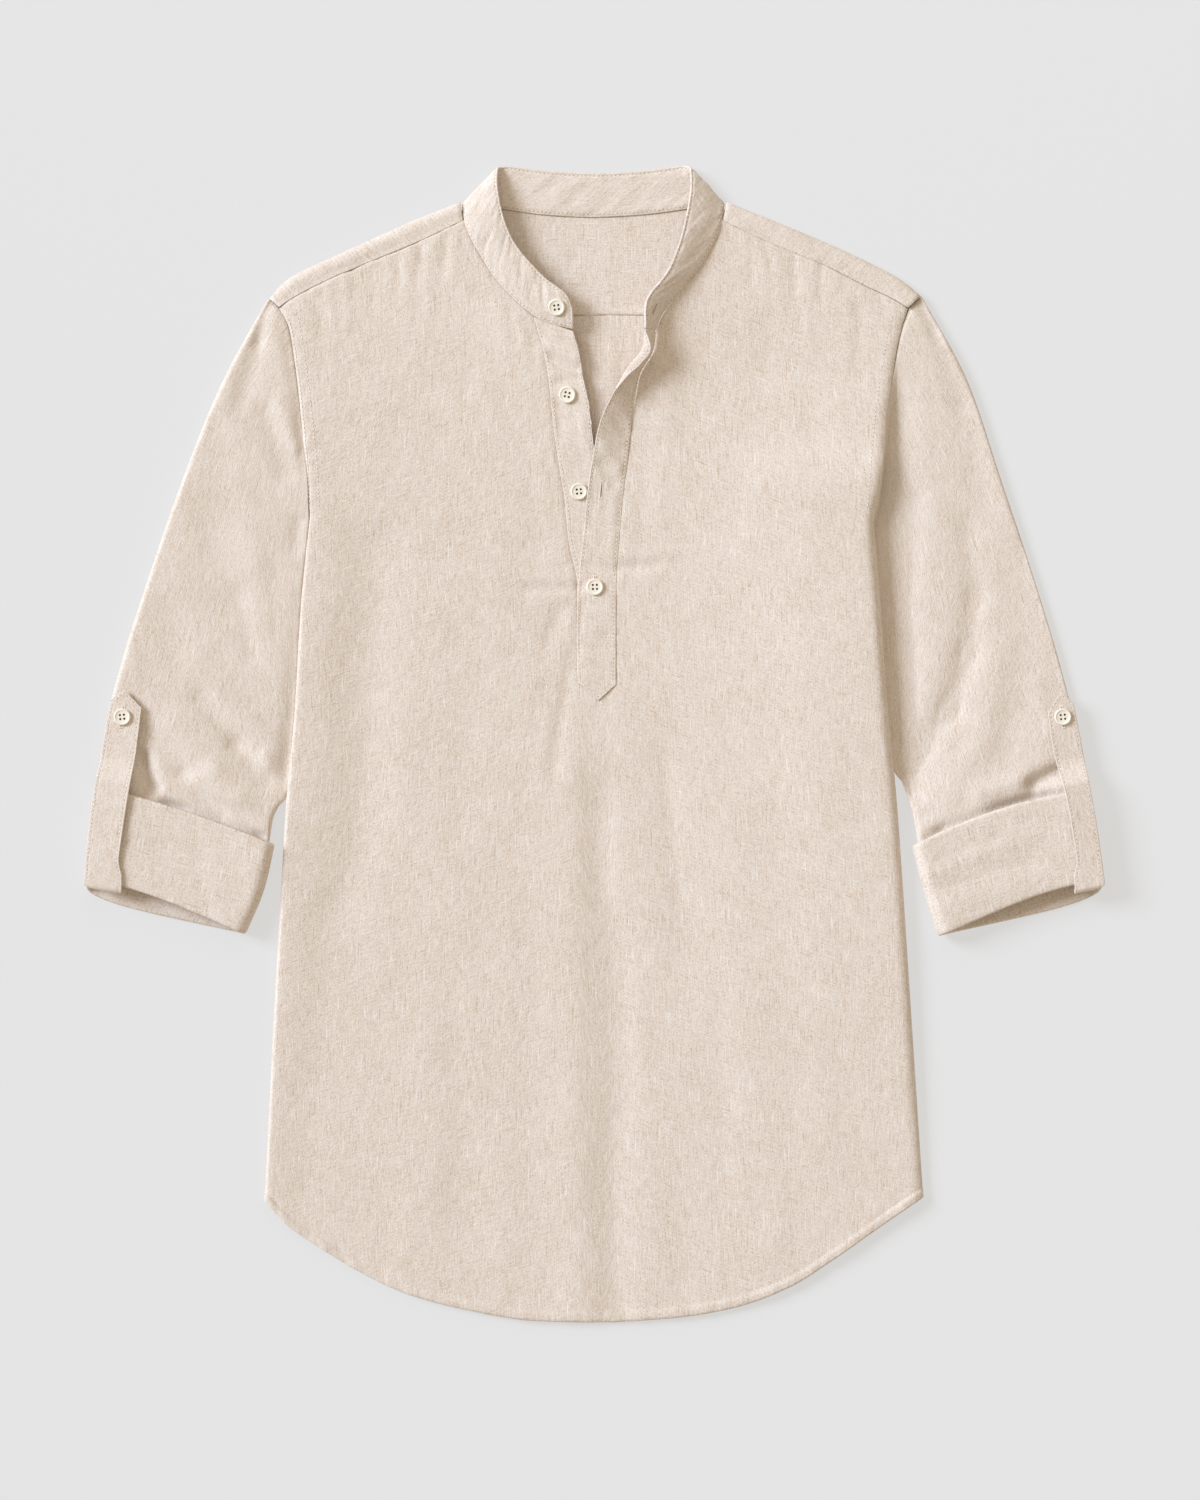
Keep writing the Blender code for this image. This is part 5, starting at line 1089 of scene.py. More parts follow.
def tab_grid(side):
    """Middle points of a tab: its point, along the sleeve, up over the roll, round the lip and inside."""
    half = DOUBLE_CLOTH / 2
    droop = 0.3
    low = SLEEVE_TOP + SEAM_GAP + half
    high = ROLL_HEIGHT["outer_fold"] + SEAM_GAP + droop + half
    k = strip_shares(TAB_WIDTH[side], step=1.6)
    across = len(k)
    rows = []
    for share in np.linspace(0, 1, 80):
        values = rows_of(TAB[side], TAB_COLUMNS, share)
        outer, inner = values[0:2], values[2:4]
        z = low + (high - low) * float(ease((share - 0.30) / 0.22))
        curl = TAB_CURL * ease(share / 0.15) * (1 - ease((share - 0.82) / 0.18))
        width = np.linalg.norm(inner - outer)
        inner = inner + 4.0 * float(ease((share - 0.86) / 0.14)) ** 2 * (inner - outer) / width
        height = z - droop * (1 - k) ** 2 + curl * k ** 3
        rows.append(np.column_stack([outer + np.outer(k, inner - outer), height]))
    first = rows[0]
    tip = np.array(TAB_POINT[side])
    middle = (first[0, :2] + first[-1, :2]) / 2
    reach = np.maximum(1 - np.abs(k - 0.5) / 0.5, 0.04)
    for step in TAB_POINT_STEPS:
        head = first.copy()
        head[:, :2] += np.outer(reach * step, tip - middle)
        rows.insert(0, head)
    last = rows[-1]
    down = last[:, :2] - rows[-2][:, :2]
    down = down / np.linalg.norm(down, axis=1, keepdims=True)
    inside = ROLL_HEIGHT["outer_fold"] - ROLL_CLOTH - SEAM_GAP - half
    centre = (high + inside) / 2
    radius = (high - inside) / 2
    lip = 6.5
    trim = 0.52
    for angle in np.linspace(90, -90, 15):
        cut = trim * float(ease((90 - angle) / 135))
        reach = lip + radius * math.cos(math.radians(angle))
        line = last[0, :2] + np.outer(cut + (1 - cut) * k, last[-1, :2] - last[0, :2])
        z = centre + radius * math.sin(math.radians(angle))
        rows.append(np.column_stack([line + down * reach, np.full(across, z)]))
    for reach in np.linspace(lip, lip - TAB_RETURN, 5)[1:]:
        rows.append(np.column_stack([line + down * reach, np.full(across, inside)]))
    return np.array(rows)


# ---------------------------------------------------------------- sewing

STITCH_LENGTH = 2.0
STITCH_GAP = 0.9
STITCH_RADIUS = 0.27
STITCH_KNOTS = (0, 0.2, 0.5, 0.8, 1)
THREAD_SIDES = 6
DENT_SHADE_HALF_WIDTH = 0.25         # half the width of the dark spindle painted as the shade in a needle's dent


class Surface:
    """The upper face of a shell's grid, read at any row and column."""

    def __init__(self, grid, thickness, closed=False):
        self.normals = grid_normals(grid, closed, up=True)
        half = np.broadcast_to(np.asarray(thickness, dtype=float) / 2, grid.shape[:2])[..., None]
        self.points = grid + self.normals * half
        self.across, self.down = cloth_runs(grid)

    def at(self, rows, columns):
        """Points and normals at rows and columns that may lie between those of the grid."""
        rows, columns = np.broadcast_arrays(np.asarray(rows, dtype=float), np.asarray(columns, dtype=float))
        r = np.clip(rows.astype(int), 0, self.points.shape[0] - 2)
        c = np.clip(columns.astype(int), 0, self.points.shape[1] - 2)
        s, t = (rows - r)[:, None], (columns - c)[:, None]
        found = []
        for field in (self.points, self.normals):
            found.append((1 - s) * ((1 - t) * field[r, c] + t * field[r, c + 1])
                         + s * ((1 - t) * field[r + 1, c] + t * field[r + 1, c + 1]))
        return np.hstack(found)

    def beside_column(self, column, inset, rows):
        """A line at a distance over the cloth from a column, along some rows."""
        columns = np.arange(self.points.shape[1], dtype=float)
        target = self.across[rows, column] + inset
        return self.at(rows, [np.interp(t, self.across[r], columns) for r, t in zip(rows, target)])

    def beside_row(self, row, inset, columns):
        """A line at a distance over the cloth from a row, along some columns."""
        rows = np.arange(self.points.shape[0], dtype=float)
        target = self.down[row, columns] + inset
        return self.at([np.interp(t, self.down[:, c], rows) for c, t in zip(columns, target)], columns)


def respaced(line, step):
    """A line of points and normals at equal steps."""
    run = np.concatenate([[0], np.cumsum(np.linalg.norm(np.diff(line[:, :3], axis=0), axis=1))])
    count = max(int(run[-1] / step), 1)
    at = np.linspace(0, run[-1], count + 1)
    return np.column_stack([np.interp(at, run, line[:, k]) for k in range(6)])


def thread_mesh(name, lengths):
    """One mesh of many short threads, each a spindle along its own few points, with their normals."""
    vertices, faces = [], []
    for points_in, radius in lengths:
        path = np.asarray(points_in)
        direction = path[-1, :3] - path[0, :3]
        direction = direction / max(np.linalg.norm(direction), TINY)
        first = len(vertices)
        for k, p in enumerate(path):
            up = p[3:] / np.linalg.norm(p[3:])
            side = np.cross(direction, up)
            size = radius * (0.35 if k in (0, len(path) - 1) else 1.0)
            for a in range(THREAD_SIDES):
                angle = a * 2 * math.pi / THREAD_SIDES
                vertices.append((p[:3] + (side * math.cos(angle) + up * math.sin(angle) * 0.8) * size) * MM)
        rings = [[first + THREAD_SIDES * k + a for a in range(THREAD_SIDES)] for k in range(len(path))]
        for ring, following in zip(rings, rings[1:]):
            for a in range(THREAD_SIDES):
                b = (a + 1) % THREAD_SIDES
                faces.append([ring[a], ring[b], following[b], following[a]])
        faces += [rings[0][::-1], rings[-1]]
    mesh = bpy.data.meshes.new(name)
    mesh.from_pydata([tuple(v) for v in vertices], [], faces)
    mesh.shade_smooth()
    return placed(name, mesh)


def stitches(line, radius=STITCH_RADIUS, sink=0.05):
    """Lockstitches along a line of surface points: each dips into the cloth at both ends."""
    laid = []
    dots = respaced(line, (STITCH_LENGTH + STITCH_GAP) / 4)
    share = STITCH_LENGTH / (STITCH_LENGTH + STITCH_GAP)
    for k in range(0, len(dots) - 4, 4):
        knots = dots[k:k + 5]
        at = np.array(STITCH_KNOTS) * share * 4
        path = np.column_stack([np.interp(at, range(5), knots[:, c]) for c in range(6)])
        dip = np.array([-radius, 0, radius * 0.35, 0, -radius]) - sink
        path[:, :3] += path[:, 3:] * dip[:, None]
        laid.append((path, radius))
    return laid


def painted_needle_shades(laid):
    """Dark spindles painted as the shade in the dents between stitches that follow each other, at the level
    of the cloth.
    """
    dents = []
    for (path, radius), (following, _) in zip(laid, laid[1:]):
        a, b = path[-1].copy(), following[0].copy()
        if np.linalg.norm(b[:3] - a[:3]) < 2 * STITCH_GAP:
            dent = np.array([a, (a + b) / 2, b])
            dent[:, :3] += dent[:, 3:] * radius
            dents.append((dent, DENT_SHADE_HALF_WIDTH))
    return dents


WORKED = {"pitch": 0.5, "from": 0.25, "to": 1.25, "bar": 1.3}    # the close threads round a buttonhole
SLIT_KNOTS = (-0.47, -0.3, 0, 0.3, 0.47)
SLIT_SHADE_RADIUS = 0.24


def buttonhole(centre, normal, direction, length):
    """A worked buttonhole: close threads round a slit, with a bar of them at each end, and a dark thread
    along the slit as its painted shade.
    """
    normal = normal / np.linalg.norm(normal)
    direction = direction - normal * direction.dot(normal)
    direction = direction / np.linalg.norm(direction)
    side = np.cross(normal, direction)

    def thread(a, b, bow, radius):
        """A short thread from one point to another, bowed off the cloth."""
        return np.array([[*a, *normal], [*((a + b) / 2 + normal * bow), *normal], [*b, *normal]]), radius

    threads = []
    for t in np.linspace(-0.5, 0.5, int(length / WORKED["pitch"])):
        at = centre + direction * t * length
        for s in (-1, 1):
            threads.append(thread(at + side * s * WORKED["from"], at + side * s * WORKED["to"], 0.12, 0.27))
    for end in (-1, 1):
        for s in np.linspace(-1, 1, 5):
            a = centre + direction * end * (length / 2 - 0.2) + side * s * 1.1
            threads.append(thread(a, a + direction * end * WORKED["bar"], 0.15, 0.28))
    # The dark thread along the slit is painted shade of the opening.
    slit = np.array([[*(centre + direction * t * length + normal * 0.05), *normal] for t in SLIT_KNOTS])
    return threads, (slit, SLIT_SHADE_RADIUS)


# ---------------------------------------------------------------- buttons

BUTTON_PROFILE = [(0, 0), (3.8, 0), (5.0, 0.05), (5.45, 0.3), (5.75, 0.75), (5.8, 1.15), (5.75, 1.5),
                  (5.5, 1.85), (5.1, 2.0), (4.7, 1.9), (4.4, 1.68), (4.1, 1.55), (3.0, 1.5), (0, 1.48)]
BUTTON_SEAT = 0.1        # clear of the cloth
HOLE_RADIUS = 0.8
HOLE_SPACING = 2.8
HOLE_PLACES = [(x * HOLE_SPACING / 2, y * HOLE_SPACING / 2) for x in (-1, 1) for y in (-1, 1)]
THREAD_HEIGHTS = (-0.4, 0.4, 1.0, 1.4)


def button_mesh():
    """A four-hole button with a rounded rim and a dished middle, round Z, its back at Z = 0."""
    disc = bmesh.new()
    line = [disc.verts.new((r * MM, 0, z * MM)) for r, z in BUTTON_PROFILE]
    edges = [disc.edges.new(pair) for pair in zip(line, line[1:])]
    bmesh.ops.spin(disc, geom=line + edges, cent=(0, 0, 0), axis=(0, 0, 1), angle=2 * math.pi,
                   steps=56, use_merge=True)
    bmesh.ops.remove_doubles(disc, verts=disc.verts[:], dist=0.01 * MM)
    bmesh.ops.recalc_face_normals(disc, faces=disc.faces[:])
    mesh = bpy.data.meshes.new("button_disc")
    disc.to_mesh(mesh)
    disc.free()
    holes = bmesh.new()
    for x, y in HOLE_PLACES:
        bmesh.ops.create_cone(holes, cap_ends=True, segments=20, radius1=HOLE_RADIUS * MM,
                              radius2=HOLE_RADIUS * MM, depth=8 * MM,
                              matrix=Matrix.Translation((x * MM, y * MM, MM)))
    cutter_mesh = bpy.data.meshes.new("button_holes")
    holes.to_mesh(cutter_mesh)
    holes.free()
    disc_object, cutter = placed("button_disc", mesh), placed("button_holes", cutter_mesh)
    cut = disc_object.modifiers.new("holes", "BOOLEAN")
    cut.operation = "DIFFERENCE"
    cut.object = cutter
    bpy.context.view_layer.update()
    graph = bpy.context.evaluated_depsgraph_get()
    finished = bpy.data.meshes.new_from_object(disc_object.evaluated_get(graph))
    for obj in (disc_object, cutter):
        bpy.data.objects.remove(obj, do_unlink=True)
    finished.shade_smooth()
    finished.set_sharp_from_angle(angle=math.radians(40))
    return finished


def seat_on(grid, thickness, x, y):
    """The point and the normal of a shell's upper face under a place in plan."""
    normals = grid_normals(grid, up=True).reshape(-1, 3)
    near = np.argsort(np.hypot(grid[..., 0] - x, grid[..., 1] - y).ravel())[:60]
    normal = normals[near].mean(axis=0)
    normal = normal / np.linalg.norm(normal)
    flat = grid.reshape(-1, 3)[near]
    z = np.mean(flat[:, 2] - (normal[0] * (x - flat[:, 0]) + normal[1] * (y - flat[:, 1])) / normal[2])
    return np.array([x, y, z]) + normal * thickness / 2, normal


def place_button(name, mesh, grid, thickness, x, y, spin):
    """The button on its carrier, and the dark brown threads that fill its four holes, partly thread and
    partly painted shade of the holes.
    """
    point, normal = seat_on(grid, thickness, x, y)
    turn = Vector((0, 0, 1)).rotation_difference(Vector(normal)).to_matrix().to_4x4()
    turn = turn @ Matrix.Rotation(math.radians(spin), 4, "Z")
    obj = placed(name + "_ivory", mesh.copy())
    obj.data.transform(Matrix.Translation(Vector((point + normal * BUTTON_SEAT) * MM)) @ turn)
    threads = []
    for hole_x, hole_y in HOLE_PLACES:
        offset = np.array(turn.to_3x3() @ Vector((hole_x, hole_y, 0)))
        side = np.array(turn.to_3x3() @ Vector((1, 0, 0)))
        path = np.array([[*(point + offset + normal * h), *side] for h in THREAD_HEIGHTS])
        threads.append((path, HOLE_RADIUS * 0.95))
    return obj, thread_mesh(name + "_thread", threads)


# ---------------------------------------------------------------- finishes

def node(tree, kind, inputs=(), **settings):
    """A new node with its settings, and with its inputs given as values or as sockets to join."""
    made = tree.nodes.new(kind)
    for key, value in settings.items():
        setattr(made, key, value)
    for key, value in dict(inputs).items():
        if isinstance(value, bpy.types.NodeSocket):
            tree.links.new(value, made.inputs[key])
        else:
            made.inputs[key].default_value = value
    return made


def reckon(tree, operation, a, b=0.0, clamp=False):
    """The value of a sum, a product or another operation."""
    return node(tree, "ShaderNodeMath", {0: a, 1: b}, operation=operation, use_clamp=clamp).outputs[0]


def group(name, inputs, outputs):
    """An empty node group with named sockets, and its input and output nodes."""
    tree = bpy.data.node_groups.new(name, "ShaderNodeTree")
    for socket, kind, value in inputs:
        made = tree.interface.new_socket(socket, in_out="INPUT", socket_type=kind)
        if value is not None:
            made.default_value = value
    for socket, kind in outputs:
        tree.interface.new_socket(socket, in_out="OUTPUT", socket_type=kind)
    return tree, tree.nodes.new("NodeGroupInput").outputs, tree.nodes.new("NodeGroupOutput").inputs


def noise_over(tree, place, size, detail, distortion=0.0):
    """Noise over a place in millimetres, in patches of the given sizes."""
    per_patch = tuple(1 / s for s in size)
    scaled = node(tree, "ShaderNodeVectorMath", {0: place, 1: per_patch}, operation="MULTIPLY").outputs[0]
    return node(tree, "ShaderNodeTexNoise", {"Vector": scaled, "Scale": 1.0, "Detail": detail,
                                             "Distortion": distortion}).outputs["Fac"]


def between(tree, value, low, high, to_low=0.0, to_high=1.0):
    """A value spread from one range to another, and held to it."""
    return node(tree, "ShaderNodeMapRange", {"Value": value, "From Min": low, "From Max": high,
                                             "To Min": to_low, "To Max": to_high}).outputs["Result"]


YARN_PITCH = 0.62


def weave_group():
    """Plain weave: yarns over and under each other, each a little lighter or darker than the next."""
    tree, given, gives = group("plain_weave", [("Place", "NodeSocketVector", None),
                                               ("Pitch", "NodeSocketFloat", YARN_PITCH)],
                               [("Height", "NodeSocketFloat"), ("Shade", "NodeSocketFloat")])
    parts = node(tree, "ShaderNodeSeparateXYZ", {0: given["Place"]}).outputs
    waves = []
    for axis in (0, 1):
        drift = noise_over(tree, given["Place"], (7, 7, 1), detail=1.0)
        turned = reckon(tree, "ADD", reckon(tree, "DIVIDE", parts[axis], given["Pitch"]), drift)
        waves.append(reckon(tree, "SINE", reckon(tree, "MULTIPLY", turned, math.pi)))
    tree.links.new(between(tree, reckon(tree, "MULTIPLY", waves[0], waves[1]), -1, 1), gives["Height"])
    grain = between(tree, noise_over(tree, given["Place"], (0.95, 1.1, 1), detail=0.0), 0.25, 0.75, -1, 1)
    warp = between(tree, noise_over(tree, given["Place"], (0.8, 11, 1), detail=1.0), 0.25, 0.75, -1, 1)
    weft = between(tree, noise_over(tree, given["Place"], (9, 0.8, 1), detail=1.0), 0.25, 0.75, -1, 1)
    yarns = reckon(tree, "ADD", reckon(tree, "MULTIPLY", warp, 0.55), reckon(tree, "MULTIPLY", weft, 0.40))
    tree.links.new(reckon(tree, "ADD", reckon(tree, "MULTIPLY", grain, 0.8), yarns), gives["Shade"])
    return tree


def slub_group():
    """Thicker stretches of yarn, long and thin, along the warp and along the weft."""
    tree, given, gives = group("slubs", [("Place", "NodeSocketVector", None),
                                         ("Amount", "NodeSocketFloat", 1.0)],
                               [("Light", "NodeSocketFloat"), ("Dark", "NodeSocketFloat")])
    warp = noise_over(tree, given["Place"], (1.05, 17, 1), detail=1.0)
    weft = noise_over(tree, given["Place"], (14, 1.05, 1), detail=1.0)
    light = reckon(tree, "MAXIMUM", between(tree, warp, 0.62, 0.72),
                   reckon(tree, "MULTIPLY", between(tree, weft, 0.64, 0.74), 0.8))
    dark = reckon(tree, "MAXIMUM", between(tree, warp, 0.37, 0.28),
                  reckon(tree, "MULTIPLY", between(tree, weft, 0.36, 0.27), 0.8))
    tree.links.new(reckon(tree, "MULTIPLY", light, given["Amount"]), gives["Light"])
    tree.links.new(reckon(tree, "MULTIPLY", dark, given["Amount"]), gives["Dark"])
    return tree


def crinkle_group():
    """The crinkle that washing leaves in linen: short curled ridges, and a broader unevenness."""
    tree, given, gives = group("crinkle", [("Place", "NodeSocketVector", None)],
                               [(name, "NodeSocketFloat") for name in ("Fine", "Coarse", "Ridges")])
    fine = noise_over(tree, given["Place"], (1.7, 2.2, 1), detail=1.0, distortion=1.2)
    tree.links.new(fine, gives["Fine"])
    coarse = noise_over(tree, given["Place"], (7.5, 10, 1), detail=2.0, distortion=0.8)
    tree.links.new(coarse, gives["Coarse"])
    curls = noise_over(tree, given["Place"], (3.0, 4.2, 1), detail=0.0, distortion=1.5)
    off_line = reckon(tree, "ABSOLUTE", reckon(tree, "SUBTRACT", curls, 0.5))
    patches = between(tree, noise_over(tree, given["Place"], (9, 12, 1), detail=1.0), 0.46, 0.62)
    tree.links.new(reckon(tree, "MULTIPLY", between(tree, off_line, 0.045, 0.0), patches), gives["Ridges"])
    return tree


def fleck_group():
    """Sparse dark flecks of flax husk."""
    tree, given, gives = group("husk_flecks", [("Place", "NodeSocketVector", None)],
                               [("Fleck", "NodeSocketFloat")])
    scaled = node(tree, "ShaderNodeVectorMath", {0: given["Place"], 1: (0.28, 0.2, 1)}, operation="MULTIPLY")
    cells = node(tree, "ShaderNodeTexVoronoi", {"Vector": scaled.outputs[0], "Scale": 1.0}).outputs
    spot = between(tree, cells["Distance"], 0.15, 0.07)
    own = node(tree, "ShaderNodeSeparateXYZ", {0: cells["Color"]}).outputs[0]
    chosen = reckon(tree, "GREATER_THAN", own, 0.72)
    tree.links.new(reckon(tree, "MULTIPLY", spot, chosen), gives["Fleck"])
    return tree


WEAVE, SLUBS, CRINKLE, FLECKS = weave_group(), slub_group(), crinkle_group(), fleck_group()
FLAX_PALE = (0.875, 0.80, 0.735)
FLAX_MIDDLE = (0.756, 0.656, 0.567)
FLAX_DEEP = (0.575, 0.445, 0.325)


def new_material(name):
    """A new material, its node tree and its shader."""
    mat = bpy.data.materials.new(name)
    mat.use_nodes = True
    return mat, mat.node_tree, mat.node_tree.nodes["Principled BSDF"]


def colour_ramp(tree, value, low, high, low_at=0.0, high_at=1.0):
    """A ramp from one colour to another."""
    ramp = node(tree, "ShaderNodeValToRGB", {"Fac": value})
    for end, colour, at in zip(ramp.color_ramp.elements, (low, high), (low_at, high_at)):
        end.position, end.color = at, (*colour, 1)
    return ramp


def linen(name, shift, crinkled=1.0, slubbed=1.0, tone=0.0):
    """Natural linen over the cloth map, shifted so that no two pieces share the same yarns."""
    mat, tree, shader = new_material(name)
    cloth_map = node(tree, "ShaderNodeUVMap", uv_map="cloth").outputs[0]
    place = node(tree, "ShaderNodeVectorMath", {0: cloth_map, 1: (1000, 1000, 0), 2: (shift, 1.7 * shift, 0)},
                 operation="MULTIPLY_ADD").outputs[0]

    def use(made, **inputs):
        """The outputs of a node group over the cloth map."""
        return node(tree, "ShaderNodeGroup", {"Place": place, **inputs}, node_tree=made).outputs

    weave, slubs = use(WEAVE), use(SLUBS, Amount=slubbed)
    crinkle, flecks = use(CRINKLE), use(FLECKS)
    mottle = noise_over(tree, place, (30, 46, 1), detail=3.0)
    value = reckon(tree, "ADD", between(tree, mottle, 0.3, 0.7, -0.05, 0.05), 0.5 + tone)
    # The crinkle's fine relief and curled ridges also lift the colour where they rise: painted shade in their
    # hollows, painted highlight on their ridges.
    for shade in (reckon(tree, "MULTIPLY", weave["Shade"], 0.26),
                  between(tree, crinkle["Fine"], 0.3, 0.7, -0.12, 0.12),
                  reckon(tree, "MULTIPLY", crinkle["Ridges"], 0.30),
                  reckon(tree, "MULTIPLY", slubs["Light"], 0.48),
                  reckon(tree, "MULTIPLY", slubs["Dark"], -0.30)):
        value = reckon(tree, "ADD", value, shade)
    value = reckon(tree, "SUBTRACT", value, reckon(tree, "MULTIPLY", flecks["Fleck"], 0.45), clamp=True)
    ramp = colour_ramp(tree, value, FLAX_DEEP, FLAX_PALE)
    ramp.color_ramp.elements.new(0.5).color = (*FLAX_MIDDLE, 1)
    tree.links.new(ramp.outputs["Color"], shader.inputs["Base Color"])
    tree.links.new(between(tree, value, 0.2, 0.9, 0.97, 0.82), shader.inputs["Roughness"])
    yarn = reckon(tree, "ADD", reckon(tree, "MULTIPLY", weave["Height"], 0.5),
                  reckon(tree, "MULTIPLY", slubs["Light"], 0.8))
    curled = reckon(tree, "ADD", crinkle["Fine"], reckon(tree, "MULTIPLY", crinkle["Ridges"], 0.25))
    bump = {}
    for height, strength, distance in ((crinkle["Coarse"], 0.3 * crinkled, 0.0011),
                                       (curled, 0.5 * crinkled, 0.00032), (yarn, 0.6, 0.00012)):
        made = node(tree, "ShaderNodeBump",
                    {"Strength": strength, "Distance": distance, "Height": height, **bump})
        bump = {"Normal": made.outputs["Normal"]}
    tree.links.new(bump["Normal"], shader.inputs["Normal"])
    shader.inputs["Specular IOR Level"].default_value = 0.3
    shader.inputs["Sheen Weight"].default_value = 0.12
    shader.inputs["Sheen Roughness"].default_value = 0.6
    shader.inputs["Sheen Tint"].default_value = (1.0, 0.95, 0.88, 1)
    return mat


def spun_thread(name, colour, rough=0.75):
    """Spun thread, a little darker between its plies as painted shade."""
    mat, tree, shader = new_material(name)
    place = node(tree, "ShaderNodeTexCoord").outputs["Object"]
    ply = node(tree, "ShaderNodeTexNoise", {"Vector": place, "Scale": 2600.0, "Detail": 2.0}).outputs["Fac"]
    ramp = colour_ramp(tree, ply, [0.82 * c for c in colour], [min(1.08 * c, 1) for c in colour], 0.3, 0.7)
    tree.links.new(ramp.outputs["Color"], shader.inputs["Base Color"])
    shader.inputs["Roughness"].default_value = rough
    bump = node(tree, "ShaderNodeBump", {"Strength": 0.5, "Distance": 0.00008, "Height": ply})
    tree.links.new(bump.outputs["Normal"], shader.inputs["Normal"])
    return mat


def button_ivory():
    """Milky cast resin with faint clouds, duller where it is paler."""
    mat, tree, shader = new_material("button_ivory")
    place = node(tree, "ShaderNodeTexCoord").outputs["Object"]
    cloud = node(tree, "ShaderNodeTexNoise",
                 {"Vector": place, "Scale": 210.0, "Detail": 3.0, "Distortion": 1.4}).outputs["Fac"]
    ramp = colour_ramp(tree, cloud, (0.85, 0.775, 0.64), (0.935, 0.885, 0.775), 0.3, 0.72)
    tree.links.new(ramp.outputs["Color"], shader.inputs["Base Color"])
    tree.links.new(between(tree, cloud, 0.3, 0.7, 0.30, 0.44), shader.inputs["Roughness"])
    shader.inputs["Coat Weight"].default_value = 0.15
    shader.inputs["Coat Roughness"].default_value = 0.25
    return mat


# ---------------------------------------------------------------- the shirt

SIDES = ("left", "right")
ARMHOLE_STITCHES = ((UNDER_COLUMNS + 1, 8.8), (UNDER_COLUMNS + 1, 2.4), (-UNDER_COLUMNS - 2, -8.8))
PLACKET_CROSS_ROWS = (73.6, 67.4)      # levels of the two rows of stitches across the top placket
PLACKET_END_INSET = 2.3
TAB_POINT_INSET = 2.2
TAB_SEWN_ROWS = np.arange(9, 92)
TAB_UPPER_ROWS = 50                    # rows of a tab's grid on its upper side
TAB_BUTTON_SPIN = 6                    # degrees

front, front_points = make_front()
back, yoke = make_back(), make_yoke()
band_points, under_points, top_points = band_grid(), under_placket_grid(), top_placket_grid()
band = shell("collar_band_linen", band_points, band_thickness(band_points), turn=True)
under = shell("under_placket_linen", under_points, under_thickness(under_points))
top = shell("top_placket_linen", top_points, placket_thickness(top_points, point=True))
cloth = {"front": front, "back": back, "yoke": yoke,
         "collar_band": band, "under_placket": under, "top_placket": top}
tab_points, tab_upper = {}, {}
for side in SIDES:
    cloth[f"sleeve_{side}"] = make_sleeve(side)
    cloth[f"sleeve_roll_{side}"] = make_roll(side)
    tab_points[side] = tab_grid(side)
    tab_upper[side] = tab_points[side][:TAB_UPPER_ROWS]
    cloth[f"tab_{side}"] = shell(f"tab_{side}_linen", tab_points[side], placket_thickness(tab_points[side]))

# Sewing.
sewing, painted_dent_shades = {}, {}


def sew(node_name, name, lines):
    """The stitches of a piece, and the painted shade in the dents that their needle left."""
    sewing[node_name] = thread_mesh(name + "_stitches", lines)
    painted_dent_shades[node_name] = thread_mesh(name + "_painted_needle_shades", painted_needle_shades(lines))


def sewn_sides(face, rows):
    """Stitches along both long sides of a strip."""
    return (stitches(face.beside_column(0, STITCH_INSET, rows))
            + stitches(face.beside_column(-1, -STITCH_INSET, rows)))


face = Surface(front_points, LINEN_THICKNESS)
columns = np.arange(UNDER_COLUMNS + 3, front_points.shape[1] - UNDER_COLUMNS - 3)
above_underarm = np.arange(3, int(np.sum(FRONT_SHARES < UNDERARM)) - 2)
lines = stitches(face.beside_row(-1, -HEM_WIDTH, columns), sink=0.0)
for column, inset in ARMHOLE_STITCHES:
    lines += stitches(face.beside_column(column, inset, above_underarm))
sew("front", "front", lines)

band_face = Surface(band_points, band_thickness(band_points))
rows = np.arange(3, band_points.shape[0] - 3)
columns = np.arange(4, band_points.shape[1] - 4)
lines = stitches(band_face.beside_column(-1, -STITCH_INSET, rows))
lines += stitches(band_face.beside_column(0, STITCH_INSET, rows))
lines += stitches(band_face.beside_row(0, STITCH_INSET, columns))
lines += stitches(band_face.beside_row(-1, -STITCH_INSET, columns))
sew("collar_band", "band", lines)

face = Surface(under_points, under_thickness(under_points))
sew("under_placket", "under_placket", sewn_sides(face, np.arange(2, under_points.shape[0] - 2)))

face = Surface(top_points, placket_thickness(top_points, point=True))
columns = np.arange(3, top_points.shape[1] - 3)
lines = sewn_sides(face, np.arange(2, top_points.shape[0] - 12))
lines += stitches(face.beside_row(-1, -PLACKET_END_INSET, columns))
for level in PLACKET_CROSS_ROWS:
    cross_row = np.interp(-level, -top_points[:TOP_PLACKET_ROWS, 10, 1], np.arange(TOP_PLACKET_ROWS))
    lines += stitches(face.at(np.full(len(columns), cross_row), columns), radius=0.2)
sew("top_placket", "top_placket", lines)

for side in SIDES:
    face = Surface(tab_points[side], placket_thickness(tab_points[side]))
    columns = np.arange(3, tab_points[side].shape[1] - 3)
    lines = sewn_sides(face, TAB_SEWN_ROWS) + stitches(face.beside_row(0, TAB_POINT_INSET, columns))
    sew(f"tab_{side}", f"tab_{side}", lines)

